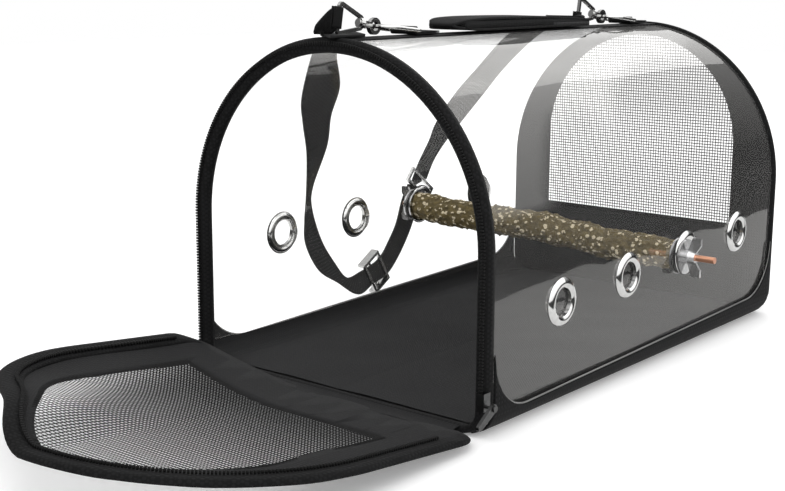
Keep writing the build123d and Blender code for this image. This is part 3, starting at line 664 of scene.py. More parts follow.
@dataclass(frozen=True)
class ClearFilm(Look):
    """Glossy clear vinyl: what it reflects is added by its grazing angle."""

    name: str = "clear_vinyl"
    haze: float = 0.08
    gloss: float = 0.80
    mirror: float = 0.72
    roughness: float = 0.03
    tint: tuple[float, float, float] = (0.93, 0.92, 0.90)
    clean: tuple[float, float, float] = (1.0, 0.985, 0.96)

    def paint(self, nodes: Nodes, shader: bpy.types.Node, place: bpy.types.Node, groups: Groups) -> None:
        """Joins the finish's nodes to its shader."""
        shader.inputs["Metallic"].default_value = self.mirror
        wear = nodes.wear(groups["wear"], place.outputs["Object"], patch_size=9.0)
        nodes.join(nodes.blend(wear.outputs["Patch"], self.tint, self.clean), shader.inputs["Base Color"])
        shader.inputs["Roughness"].default_value = self.roughness
        facing = nodes.add("ShaderNodeLayerWeight", Blend=0.5)
        grazing = nodes.math("POWER", facing.outputs["Facing"], 5.0)
        share = nodes.math("ADD", nodes.math("MULTIPLY", grazing, self.gloss), self.haze)
        nodes.join(nodes.math("MINIMUM", share, 1.0), shader.inputs["Alpha"])
        waves = nodes.add("ShaderNodeTexNoise", Scale=14.0, Detail=0.0)
        nodes.join(place.outputs["Object"], waves.inputs["Vector"])
        nodes.emboss(shader, waves.outputs[0], 0.25, 0.004)


@dataclass(frozen=True)
class Bark(Look):
    """Rough branch with pale nodules and dark cracks."""

    name: str = "branch_bark"
    crack: tuple[float, float, float] = (0.006, 0.004, 0.001)
    ground: tuple[float, float, float] = (0.19, 0.14, 0.045)
    nodule: tuple[float, float, float] = (0.62, 0.54, 0.38)

    def paint(self, nodes: Nodes, shader: bpy.types.Node, place: bpy.types.Node, groups: Groups) -> None:
        """Joins the finish's nodes to its shader."""
        shader.inputs["Roughness"].default_value = 0.8
        stretch = nodes.add("ShaderNodeMapping", Scale=(0.85, 1.0, 1.0))
        nodes.join(place.outputs["Object"], stretch.inputs["Vector"])
        wear = nodes.wear(groups["wear"], stretch.outputs[0], patch_size=250.0)
        knobs = nodes.add("ShaderNodeTexVoronoi", Scale=240.0)
        nodes.join(stretch.outputs[0], knobs.inputs["Vector"])
        pale = nodes.math("LESS_THAN", knobs.outputs["Distance"], 0.36)
        ground = nodes.blend(wear.outputs["Patch"], self.crack, self.ground)
        picked = nodes.math("MULTIPLY", pale, nodes.math("GREATER_THAN", wear.outputs["Patch"], 0.48))
        nodes.join(nodes.blend(picked, ground, self.nodule), shader.inputs["Base Color"])
        height = nodes.math("SUBTRACT", wear.outputs["Patch"], knobs.outputs["Distance"])
        nodes.emboss(shader, height, 1.0, 0.0025)


class Finishes:
    """Every finish of the carrier, built once."""

    def __init__(self) -> None:
        """Builds the shared groups and the materials."""
        self.groups = {
            "plain_weave": weave_group(), "net": net_group(), "ribs": rib_group(), "wear": wear_group(),
        }
        thread_dark = grey(0.004)
        self.oxford = self.make(Cloth("black_oxford", grey(0.0045, 0.0003), grey(0.011, 0.0005), gloss=0.14))
        self.panel = self.make(Cloth("black_panel_cloth", grey(0.007), grey(0.014, 0.0005)))
        self.binding = self.make(
            Cloth("ribbed_binding", thread_dark, grey(0.013, 0.0005), threads=1900.0, bump=0.5)
        )
        net = Cloth(
            "black_net", thread_dark, grey(0.012), threads=1250.0, net=True, see_through=1.0, bump=0.2,
            thread=0.45,
        )
        self.mesh = self.make(net)
        # The door's net carries painted shade: its threads start wide and widen further toward the seam, so
        # it darkens where the door's shadow falls.
        self.door_net = self.make(replace(net, name="black_door_net", thread=1.56, painted_seam_shade=2.5))
        webbing = Cloth(
            "black_webbing", grey(0.006), grey(0.02, 0.0005), ribbed=True, space=Space.UV, bump=0.6
        )
        self.webbing = self.make(webbing)
        self.shoulder_webbing = self.make(
            replace(webbing, name="shoulder_webbing", dark=grey(0.014), light=grey(0.04, 0.001), bump=0.5)
        )
        self.coil = self.make(Cloth("black_coil", grey(0.006), grey(0.013), roughness=0.6))
        self.welt = self.make(Cloth("grey_welt", grey(0.12), grey(0.35, -0.01), roughness=0.5))
        self.film = self.make(ClearFilm())
        self.nickel = self.make(
            Metal("bright_nickel", grey(0.60, -0.01), grey(0.42, -0.005), roughness=0.13)
        )
        self.gunmetal = self.make(Metal("dark_zip_metal", grey(0.10), grey(0.05), roughness=0.3))
        self.zinc = self.make(Metal("zinc_plate", grey(0.56), grey(0.32), roughness=0.22))
        self.copper = self.make(
            Metal("copper_thread", (0.80, 0.42, 0.28), (0.55, 0.27, 0.17), roughness=0.3)
        )
        self.board = self.make(Cloth("floor_board", grey(0.03), grey(0.05)))
        self.bark = self.make(Bark())

    def make(self, look: Look) -> bpy.types.Material:
        """Builds one finish over the shared groups."""
        return look.material(self.groups)


def dress(frame: dict, node: str, finish: bpy.types.Material) -> None:
    """Gives a solid of the frame its finish."""
    target = frame["nodes"][node]
    target.data.materials.clear()
    target.data.materials.append(finish)


# ------------------------------------------------------------------ cabin
@dataclass
class Cabin:
    """Floor, film, hoops, back and ridge of the carrier."""

    finishes: Finishes
    back_sill: float = 0.076
    back_top: float = 0.238
    puff: float = 0.0012
    eyelet_radius: float = 0.0112
    eyelets: list[tuple[float, float, int]] = field(default_factory=list)

    def __post_init__(self) -> None:
        """Works out where the eyelets stand."""
        for index in range(4):
            y = -0.125 + 0.089 * index
            self.eyelets.append((y, 0.078 + 0.034 * y, 1))
            self.eyelets.append((y, 0.0885, -1))

    def hoop(self, front: bool) -> None:
        """Builds one bound hoop as a soft tube of binding.

        Args:
            front: whether it is the front hoop.
        """
        sign = -1 if front else 1
        inner_y, outer_y = sign * BODY_HALF, sign * HALF_LENGTH
        middle = (inner_y + outer_y) / 2
        section = [
            (0.0, inner_y), (-self.puff * 0.4, middle), (0.0012, outer_y - sign * 0.0008),
            (HOOP_WIDTH * 0.35, outer_y), (HOOP_WIDTH * 0.7, outer_y - sign * 0.0004),
            (HOOP_WIDTH - 0.0006, outer_y - sign * 0.0024), (HOOP_WIDTH, middle),
            (HOOP_WIDTH - 0.001, inner_y),
        ]
        bm = bmesh.new()
        loops = []
        for inset, y in section:
            floor = HOOP_FOOT + max(inset, 0.0) * (FLOOR_TOP - HOOP_FOOT) / HOOP_WIDTH
            loops.append(tunnel_loop(bm, inset, y, floor))
        loft(bm, loops, closed=True)
        bmesh.ops.recalc_face_normals(bm, faces=bm.faces)
        name = "front" if front else "back"
        piece = settle(bm, f"{name}_hoop_binding", self.finishes.binding)
        place_piece(piece, "cabin", "binding_tape", f"{name}_hoop")

    def sill_height(self, share: float) -> float:
        """Height of the film's lower edge at a share of the cabin's length."""
        y = station(share)
        reach = min(y + BODY_HALF, BODY_HALF - y)
        lift = 0.0
        if reach < SILL_CORNER:
            lift = SILL_CORNER - math.sqrt(max(SILL_CORNER ** 2 - (SILL_CORNER - reach) ** 2, 0.0))
        return SILL - 0.004 + SILL_RISE_REAR * share + lift

    def wall_point(self, height: float, y: float, inset: float, side: int) -> Vector:
        """Point on the lower wall at a height, moved inward.

        Args:
            height: row height of the point.
            y: station along the cabin.
            inset: distance inside the outer skin.
            side: 1 for the right wall, -1 for the left.

        Returns:
            The point.
        """
        radius = CORNER - inset
        if height >= CORNER:
            return Vector((side * (HALF_WIDTH - inset), y, height))
        rise = max(min(CORNER - height, radius), 0.0)
        x = HALF_WIDTH - CORNER + math.sqrt(radius ** 2 - rise ** 2)
        return Vector((side * x, y, CORNER - rise))

    def side_binding(self, side: int) -> None:
        """Builds the binding along one bottom edge, with its corners rising to the hoops."""
        foot = 0.0004

        def place(across: float, along: float) -> Vector:
            """Point of the binding, from its foot up to the film's edge."""
            height = foot + (self.sill_height(along) - foot) * across
            swell = 0.0004 * math.sin(across * math.pi)
            return self.wall_point(height, station(along), -swell, side)

        bm = grid(14, 220, place)
        name = "right" if side > 0 else "left"
        piece = settle(bm, f"{name}_edge_binding", self.finishes.binding, flip=side < 0)
        thicken(piece, 0.0014)
        place_piece(piece, "cabin", "binding_tape", f"side_binding_{name}")

        def welt(across: float, along: float) -> Vector:
            """Point of the pale line along the film's edge."""
            height = self.sill_height(along) - 0.0002 + 0.0012 * across
            return self.wall_point(height, station(along), -0.0002, side)

        line = settle(grid(1, 220, welt), f"{name}_film_welt", self.finishes.welt, flip=side < 0)
        thicken(line, 0.0006)
        place_piece(line, "cabin", "binding_tape")

    def floor(self) -> None:
        """Builds the outer floor skin and the liner with its low upturned sides."""
        flat = HALF_WIDTH - CORNER
        turned_up = 0.12
        length = 0.411
        wrinkle_height = 0.0007

        def skin(across: float, along: float) -> Vector:
            """Point of the flat outer skin."""
            x = (across - 0.5) * 2 * flat
            return Vector((x, station(along), 0.0001))

        outer = settle(grid(30, 40, skin), "floor_skin", self.finishes.oxford)
        thicken(outer, 0.0013, 1.0)
        place_piece(outer, "cabin", "black_fabric", "floor_fabric")

        def lining(across: float, along: float) -> Vector:
            """Point of the liner, on its turned-up side or its wrinkled floor."""
            y = -BODY_HALF + 0.0005 + length * along
            edge = min(across, 1.0 - across)
            if edge < turned_up:
                side = -1 if across < 0.5 else 1
                height = SILL - (SILL - FLOOR_TOP) * (edge / turned_up)
                return self.wall_point(height, y, FLOOR_TOP, side)
            x = ((across - turned_up) / (1.0 - 2 * turned_up) - 0.5) * 2 * flat
            wrinkle = wrinkle_height * (noise.noise(Vector((across * 6.0, along * 9.0, 0.0))) + 1.0)
            fade = math.sin(math.pi * (edge - turned_up) / (0.5 - turned_up)) ** 0.5
            return Vector((x, y, FLOOR_TOP + wrinkle * fade))

        liner = settle(grid(100, 120, lining), "floor_liner_cloth", self.finishes.oxford)
        place_piece(liner, "cabin", "black_fabric", "floor_liner")

    def film(self) -> None:
        """Bends the clear film over the cabin and cuts it for the eyelets."""
        low = 0.0125
        straight = SPRING_Z - low
        radius = HALF_WIDTH - FILM_INSET
        total = 2 * straight + math.pi * radius
        wave_height = 0.0005

        def place(across: float, along: float) -> Vector:
            """Point of the film, up one wall, over the roof and down the other."""
            y = station(along)
            run = across * total
            cloud = noise.noise(Vector((across * 5.0, along * 4.0, 2.0)))
            wave = wave_height * cloud * math.sin(math.pi * along)
            if run < straight:
                return self.wall_point(low + run, y, FILM_INSET - wave, 1)
            if run > total - straight:
                return self.wall_point(low + total - run, y, FILM_INSET - wave, -1)
            angle = (run - straight) / radius
            reach = radius + wave
            return Vector((reach * math.cos(angle), y, SPRING_Z + reach * math.sin(angle)))

        piece = settle(grid(150, 60, place), "film_sheet", self.finishes.film)
        cutter_mesh = bmesh.new()
        turn = Matrix.Rotation(math.pi / 2, 4, "Y")
        for y, z, side in self.eyelets:
            spot = Matrix.Translation((side * radius, y, z)) @ turn
            bmesh.ops.create_cone(
                cutter_mesh, cap_ends=True, segments=40, radius1=self.eyelet_radius,
                radius2=self.eyelet_radius, depth=0.012, matrix=spot,
            )
        cutter = settle(cutter_mesh, "eyelet_cutter", self.finishes.film)
        cut = piece.modifiers.new("holes", "BOOLEAN")
        cut.object = cutter
        cut.operation = "DIFFERENCE"
        cut.solver = "FAST"
        view = bpy.context.evaluated_depsgraph_get()
        result = bpy.data.meshes.new_from_object(piece.evaluated_get(view))
        piece.modifiers.clear()
        piece.data = result
        bpy.data.objects.remove(cutter)
        place_piece(piece, "cabin", "clear_film", "pvc_film")

    def back(self) -> None:
        """Builds the back panel's cloth frame and its net."""
        y = BODY_HALF - 0.0003
        bm = bmesh.new()
        outer = tunnel_loop(bm, 0.0029, y)
        inner = window_loop(bm, self.back_sill, self.back_top, 0.0, y)
        bmesh.ops.triangle_fill(bm, use_beauty=True, edges=outer + inner, normal=Axis3.Y.value)
        bmesh.ops.recalc_face_normals(bm, faces=bm.faces)
        panel = settle(bm, "back_panel_cloth", self.finishes.panel)
        thicken(panel, 0.0010)
        place_piece(panel, "cabin", "black_fabric", "back_panel")
        net = bmesh.new()
        edges = window_loop(net, self.back_sill, self.back_top, 0.003, y - 0.0016)
        bmesh.ops.contextual_create(net, geom=edges)
        bmesh.ops.triangulate(net, faces=net.faces)
        place_piece(settle(net, "back_net", self.finishes.mesh), "cabin", "black_mesh", "back_mesh")

    def ridge(self) -> None:
        """Builds the flat webbing along the roof."""
        width = 0.026

        def place(across: float, along: float) -> Vector:
            """Point of the webbing, bent over the roof."""
            x = (across - 0.5) * width
            z = SPRING_Z + math.sqrt((HALF_WIDTH - 0.0007) ** 2 - x * x)
            return Vector((x, station(along), z))

        piece = settle(grid(12, 80, place), "ridge_webbing", self.finishes.webbing)
        thicken(piece, 0.0010)
        place_piece(piece, "cabin", "webbing", "ridge_strip")

    def dress(self, frame: dict) -> None:
        """Gives the cabin's hard pieces their finishes."""
        for side in ("right", "left"):
            dress(frame, f"eyelets_{side}", self.finishes.nickel)
            dress(frame, f"eyelet_washers_{side}", self.finishes.nickel)
        dress(frame, "base_board", self.finishes.board)

    def build(self, frame: dict) -> None:
        """Builds every piece of the cabin."""
        self.hoop(True)
        self.hoop(False)
        self.side_binding(1)
        self.side_binding(-1)
        self.floor()
        self.film()
        self.back()
        self.ridge()
        self.dress(frame)


# ------------------------------------------------------------------ zip coils
# A tooth's width, depth and pitch, and the share of the pitch that a tooth fills.
TOOTH = Vector((0.0023, 0.0019, 0.0021))
TOOTH_SHARE = 0.62


def coil_teeth(bm: bmesh.types.BMesh, inset: float, y: float, lowest: float) -> None:
    """Lays zip teeth along the cabin's outline.

    Args:
        bm: mesh that takes the teeth.
        inset: their distance inside the outer skin.
        y: station of their middle.
        lowest: height where the row starts.
    """
    radius = HALF_WIDTH - inset
    straight = SPRING_Z - lowest
    total = 2 * straight + math.pi * radius
    count = int(total / TOOTH.z)
    for index in range(count + 1):
        run = total * index / count
        if run < straight:
            spot, angle = Vector((radius, y, lowest + run)), 0.0
        elif run > total - straight:
            spot, angle = Vector((-radius, y, lowest + total - run)), math.pi
        else:
            angle = (run - straight) / radius
            spot = Vector((radius * math.cos(angle), y, SPRING_Z + radius * math.sin(angle)))
        turn = Matrix.Translation(spot) @ Matrix.Rotation(-angle, 4, "Y")
        scale = Matrix.Diagonal((TOOTH.x, TOOTH.y, TOOTH.z * TOOTH_SHARE, 1.0))
        bmesh.ops.create_cube(bm, size=1.0, matrix=turn @ scale)


@dataclass
class Zip:
    """Frame coil, slider and pull."""

    finishes: Finishes
    coil_inset: float = 0.0032

    def build(self, frame: dict) -> None:
        """Builds the coil on the front hoop and dresses the slider."""
        bm = bmesh.new()
        coil_teeth(bm, self.coil_inset, -HALF_LENGTH - 0.001, 0.020)
        piece = settle(bm, "frame_coil_teeth", self.finishes.coil)
        place_piece(piece, "cabin", "zip_coil", "frame_zip_coil")
        dress(frame, "zip_slider", self.finishes.gunmetal)
        dress(frame, "zip_pull", self.finishes.gunmetal)


# ------------------------------------------------------------------ front door
@dataclass
class FrontDoor:
    """The zipped door, folded down on the floor."""

    finishes: Finishes
    hinge_y: float = -0.22215
    hinge_z: float = 0.005
    lift_deg: float = 6.1
    half: float = 0.00265
    overhang: float = 0.005
    window_sill: float = 0.058
    window_top: float = 0.2345
    curl_height: float = 0.020
    ripple: float = 0.012
    pull: float = 0.013
    tuck: float = 0.009
    slack: float = 0.02
    flush_reach: float = 0.030
    curl_skew: float = 1.7
    ripple_skew: float = 0.7
    far_start: float = 0.10
    far_run: float = 0.13
    near_run: float = 0.14
    net_stations: int = 24

    def lay(self, bm: bmesh.types.BMesh) -> None:
        """Lays down what was built upright: y is height over the hinge, z runs away from it."""
        lift = math.radians(self.lift_deg)
        away = Vector((0, -math.cos(lift), math.sin(lift)))
        normal = Vector((0, math.sin(lift), math.cos(lift)))
        hinge = Vector((0, self.hinge_y, self.hinge_z)) - away * self.hinge_z
        turn = Matrix((
            (1, 0, 0, hinge.x),
            (0, normal.y, away.y, hinge.y),
            (0, normal.z, away.z, hinge.z),
            (0, 0, 0, 1),
        ))
        bmesh.ops.transform(bm, matrix=turn, verts=bm.verts)

    def lift_at(self, x: float, reach: float) -> Vector:
        """How far the soft cloth curls at one place.

        Args:
            x: place across the door.
            reach: distance from the hinge.

        Returns:
            Shift across, upward and away from the hinge, before the door is laid down.
        """
        edge = min(1.0, max(0.0, -x) / (HALF_WIDTH + self.overhang))
        far = min(1.0, max(0.0, (reach - self.far_start) / self.far_run))
        far = far * far * (3.0 - 2.0 * far)
        bulge = far * math.sin(math.pi * edge) ** 2
        ripple = far * math.sin(math.pi * edge ** self.ripple_skew) ** 2
        rise = self.curl_height * edge ** self.curl_skew + self.ripple * ripple
        near = math.sin(math.pi * min(1.0, max(0.0, reach) / self.near_run)) ** 2
        return Vector((self.tuck * bulge, rise, -self.pull * bulge - self.slack * near * edge))

    def hang(
        self, bm: bmesh.types.BMesh, name: str, finish: bpy.types.Material, slot: str, node: str,
        thickness: float = 0.0,
    ) -> None:
        """Curls what was built upright as soft cloth falls, lays it down and hangs it on the hinge.

        Args:
            bm: the finished mesh, upright; it is freed.
            name: the piece's name.
            finish: its material.
            slot: its material slot; not used.
            node: the solid it stands for.
            thickness: thickness given to a sheet, or 0 for none.
        """
        for vert in bm.verts:
            vert.co += self.lift_at(vert.co.x, vert.co.z)
        self.lay(bm)
        piece = settle(bm, name, finish)
        if thickness:
            thicken(piece, thickness)
        place_piece(piece, "door", slot, node)
        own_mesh(piece)

    def rim(self) -> None:
        """Builds the padded rim round the door."""
        low = self.hinge_z - self.half
        sheet = -self.half + 0.0015
        section = [
            (-self.overhang, sheet), (-self.overhang - 0.0003, 0.0),
            (-self.overhang + 0.0012, self.half - 0.0005), (-0.0005, self.half),
            (0.0050, self.half - 0.0002), (HOOP_WIDTH - 0.001, self.half - 0.0010),
            (HOOP_WIDTH, 0.0002), (HOOP_WIDTH - 0.0005, sheet),
        ]
        bm = bmesh.new()
        loops = []
        for inset, height in section:
            floor = low + (inset + self.overhang) / (HOOP_WIDTH + self.overhang) * 0.005
            loops.append(tunnel_loop(bm, inset, height, floor))
        loft(bm, loops, closed=True)
        bmesh.ops.recalc_face_normals(bm, faces=bm.faces)
        for vert in bm.verts:
            flush = min(1.0, max(0.0, vert.co.z - low) / self.flush_reach)
            if vert.co.y > sheet:
                vert.co.y = sheet + (vert.co.y - sheet) * flush
        self.hang(bm, "door_rim_binding", self.finishes.binding, "binding_tape", "door_rim")

    def sheet(self) -> None:
        """Builds the door's cloth round its window."""
        low = self.hinge_z - self.half
        bm = bmesh.new()
        outer = tunnel_loop(bm, -self.overhang + 0.0006, -0.0013, low + 0.0006)
        inner = window_loop(bm, self.window_sill, self.window_top, 0.0, -0.0013)
        bmesh.ops.triangle_fill(bm, use_beauty=True, edges=outer + inner, normal=Axis3.Y.value)
        bmesh.ops.subdivide_edges(bm, edges=[e for e in bm.edges if e.calc_length() > 0.012], cuts=5)
        for vert in bm.verts:
            vert.co.y += 0.0008 * noise.noise(vert.co * 22.0)
        bmesh.ops.recalc_face_normals(bm, faces=bm.faces)
        self.hang(bm, "door_cloth", self.finishes.oxford, "black_fabric", "door_sheet", 0.0010)

    def net(self) -> None:
        """Builds the window's net, cut finely enough to follow the curl."""
        net = bmesh.new()
        edges = window_loop(net, self.window_sill, self.window_top, 0.0035, -0.0002)
        bmesh.ops.triangle_fill(net, use_beauty=True, edges=edges, normal=Axis3.Y.value)
        for index in range(1, self.net_stations):
            share = index / self.net_stations
            for spot, normal in (
                (Vector((HALF_WIDTH * (2.0 * share - 1.0), 0, 0)), Axis3.X.value),
                (Vector((0, 0, self.window_top * share)), Axis3.Z.value),
            ):
                geometry = list(net.verts) + list(net.edges) + list(net.faces)
                bmesh.ops.bisect_plane(net, geom=geometry, plane_co=spot, plane_no=normal)
        self.hang(net, "door_net", self.finishes.door_net, "black_mesh", "door_mesh")

    def coil(self) -> None:
        """Builds the coil of the door's half of the zip."""
        teeth = bmesh.new()
        coil_teeth(teeth, 0.0066, self.half + 0.001, 0.040)
        self.hang(teeth, "door_coil_teeth", self.finishes.coil, "zip_coil", "door_zip_coil")

    def fold(self) -> None:
        """Builds the fabric fold that joins floor and door."""
        start = Vector((0, -0.2138, 0.0056))
        end = Vector((0, -0.2262, 0.0050))

        def place(across: float, along: float) -> Vector:
            """Point of the fold, from the floor to the door."""
            x = (across - 0.5) * 2 * (HALF_WIDTH - CORNER)
            dip = -0.0006 * math.sin(along * math.pi)
            point = start.lerp(end, along)
            return Vector((x, point.y, point.z + dip + self.lift_at(x, 0.0).y * along))

        piece = settle(grid(30, 14, place), "hinge_fold", self.finishes.oxford)
        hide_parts("hinge_strip")
        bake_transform(piece)

    def build(self) -> None:
        """Builds every piece of the door."""
        self.rim()
        self.sheet()
        self.net()
        self.coil()
        self.fold()


# ------------------------------------------------------------------ perch
@dataclass
class Perch:
    """Knobbly branch across the cabin, with its hardware."""

    finishes: Finishes
    left: Vector = field(default_factory=lambda: Vector((-0.1270, 0.047, 0.0885)))
    right: Vector = field(default_factory=lambda: Vector((0.1270, 0.047, 0.0778)))
    radius: float = 0.0118
    knob_reach: float = 0.35

    def build(self, frame: dict) -> None:
        """Builds the branch and dresses washers, nuts and bolts."""
        run = self.right - self.left
        bm = bmesh.new()
        aim = run.to_track_quat("Z", "Y").to_matrix().to_4x4()
        bmesh.ops.create_cone(
            bm, cap_ends=True, segments=64, radius1=self.radius, radius2=self.radius, depth=run.length,
            matrix=Matrix.Translation((self.left + self.right) / 2) @ aim,
        )
        long_edges = [e for e in bm.edges if e.calc_length() > run.length * 0.9]
        bmesh.ops.subdivide_edges(bm, edges=long_edges, cuts=150, use_grid_fill=True)
        for vert in bm.verts:
            share = (vert.co.x - self.left.x) / run.x
            axis = self.left.lerp(self.right, share)
            bow = 0.0022 * math.sin(share * math.pi) * math.sin(share * 3 * math.pi)
            outward = Vector((0, vert.co.y - axis.y, vert.co.z - axis.z))
            if outward.length < 1e-5:
                continue
            knots = 0.0018 * noise.noise(vert.co * 55.0) + 0.0014 * noise.noise(vert.co * 190.0)
            cells = noise.voronoi(vert.co * 190.0)[0]
            knobs = 0.0016 * max(0.0, self.knob_reach - cells[0]) / self.knob_reach
            vert.co += outward.normalized() * (knots + knobs) + Vector((0, bow, -bow))
        piece = settle(bm, "branch", self.finishes.bark)
        place_piece(piece, "cabin", "bark", "perch_branch")
        dress(frame, "perch_bolts", self.finishes.copper)
        dress(frame, "inner_washers", self.finishes.zinc)
        for part in ("outer_washer", "wing_nut"):
            for side in ("right", "left"):
                dress(frame, f"{part}_{side}", self.finishes.zinc)


# ------------------------------------------------------------------ webbing
def ribbon(
    name: str, left: list[Vector], right: list[Vector], finish: bpy.types.Material, steps: int,
    thickness: float = 0.0018,
) -> bpy.types.Object:
    """Flat webbing between two edge lines.

    Args:
        name: the piece's name.
        left: points along one edge.
        right: points along the other edge.
        finish: its material.
        steps: cells along it.
        thickness: the webbing's thickness, half on each side of the edge lines.

    Returns:
        The piece.
    """
    def place(across: float, along: float) -> Vector:
        """Point between the two edge lines."""
        return smooth_curve(left, along).lerp(smooth_curve(right, along), across)

    piece = settle(grid(10, steps, place), name, finish)
    thicken(piece, thickness, 0.0)
    return piece


def mirrored(line: list[Vector]) -> list[Vector]:
    """The same line on the other side of the cabin's middle."""
    return [Vector((-point.x, point.y, point.z)) for point in line]


def points(rows: list[tuple[float, float, float]]) -> list[Vector]:
    """Millimetre rows as points in metres."""
    return [Vector(row) * MM for row in rows]


@dataclass
class RoofClip:
    """Tab, D-ring, snap hook and strap end at one end of the roof."""

    finishes: Finishes
    name: str
    tab_y: float
    ply: float = 0.0012
    gather: float = 1.0
    bar_radius: float = 0.00185
    tab_half: float = 0.011
    loop_radius: float = 0.0024
    loop_ply: float = 0.0012
    loop_tilt_deg: float = 10.0

    def tab(self) -> None:
        """Builds the tab's webbing round the ring's bar."""
        pivot = Vector((-self.tab_half, self.tab_y, ROOF_TOP + self.ply + self.bar_radius))
        radius = self.bar_radius + self.ply / 2
        bm = bmesh.new()
        bm.loops.layers.uv.new("UVMap")
        wire = Wire(bm, Vector((pivot.x, pivot.y + 0.026, ROOF_TOP + self.ply * 1.5)))
        wire.line(Vector((0, -0.023, 0)), 8)
        wire.line(Vector((0, -0.003, pivot.z + radius - wire.tip.co.z)), 3)
        wire.arc(pivot, Axis3.X.value, math.pi, 10)
        wire.line(Vector((0, 0.026, ROOF_TOP + self.ply / 2 - wire.tip.co.z)), 8)
        wire.sweep(Vector((0.0022, 0, 0)), 10)
        piece = settle(bm, f"tab_webbing_{self.name}", self.finishes.webbing)
        thicken(piece, self.ply * 0.8, 0.0)
        place_piece(piece, "cabin", "webbing", f"webbing_tab_{self.name}")

    def strap_loop(self) -> None:
        """Builds the webbing that folds round the eye's bar."""
        low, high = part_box(f"strap_end_{self.name}")
        middle = (low + high) / 2
        tilt = math.radians(self.loop_tilt_deg)
        along = Vector((0, -math.cos(tilt), math.sin(tilt)))
        across = Vector((0, math.sin(tilt), math.cos(tilt)))
        reach = (high.z - low.z) / 2 - 0.0014
        half = reach * self.gather
        origin = middle - along * 0.0018 - across * (reach - half)
        bm = bmesh.new()
        bm.loops.layers.uv.new("UVMap")
        centre = origin - across * half
        start = centre + along * 0.0055 + Vector((0.0011, 0, 0))
        wire = Wire(bm, start)
        wire.line(centre + Vector((self.loop_radius, 0, 0)) - start, 3)
        wire.arc(centre, across, math.pi, 10)
        wire.line(start - Vector((0.0022, 0, 0)) - wire.tip.co, 3)
        wire.sweep(across * (2 * half / 8), 8)
        piece = settle(bm, f"strap_loop_{self.name}", self.finishes.webbing)
        thicken(piece, self.loop_ply, 0.0)
        place_piece(piece, f"clip_eye_{self.name}", "webbing", f"strap_end_{self.name}")

    def lead(self) -> None:
        """Builds the webbing that turns from the upright eye bar to lie flat on the roof."""
        if self.name == "front":
            upper = points([
                (0, -206, 269.5), (-2, -210.5, 267), (-5, -214.5, 262), (-9, -217, 256), (-18, -209, 251.3),
            ])
            lower = points([
                (0, -205.5, 253.5), (-2, -207, 252), (-5, -206, 251), (-11, -202, 250.7), (-17, -192, 250.5),
            ])
        else:
            upper = points([
                (0, 95.5, 257.4), (4, 92, 257.4), (10, 88, 257.0), (15, 83, 256.2), (17, 74, 256.8),
            ])
            lower = points([
                (0, 96.0, 253.2), (-4, 92, 254.2), (-10, 88, 255.2), (-15, 83, 255.8), (-17, 74, 256.6),
            ])
        piece = ribbon(f"strap_lead_{self.name}", upper, lower, self.finishes.webbing, 40, 0.0016)
        place_piece(piece, "cabin", "webbing")

    def build(self, frame: dict) -> None:
        """Builds the webbing and dresses the metal."""
        self.tab()
        self.strap_loop()
        self.lead()
        for node in ("d_ring", "snap_hook", "hook_gate", "clip_eye"):
            dress(frame, f"{node}_{self.name}", self.finishes.nickel)


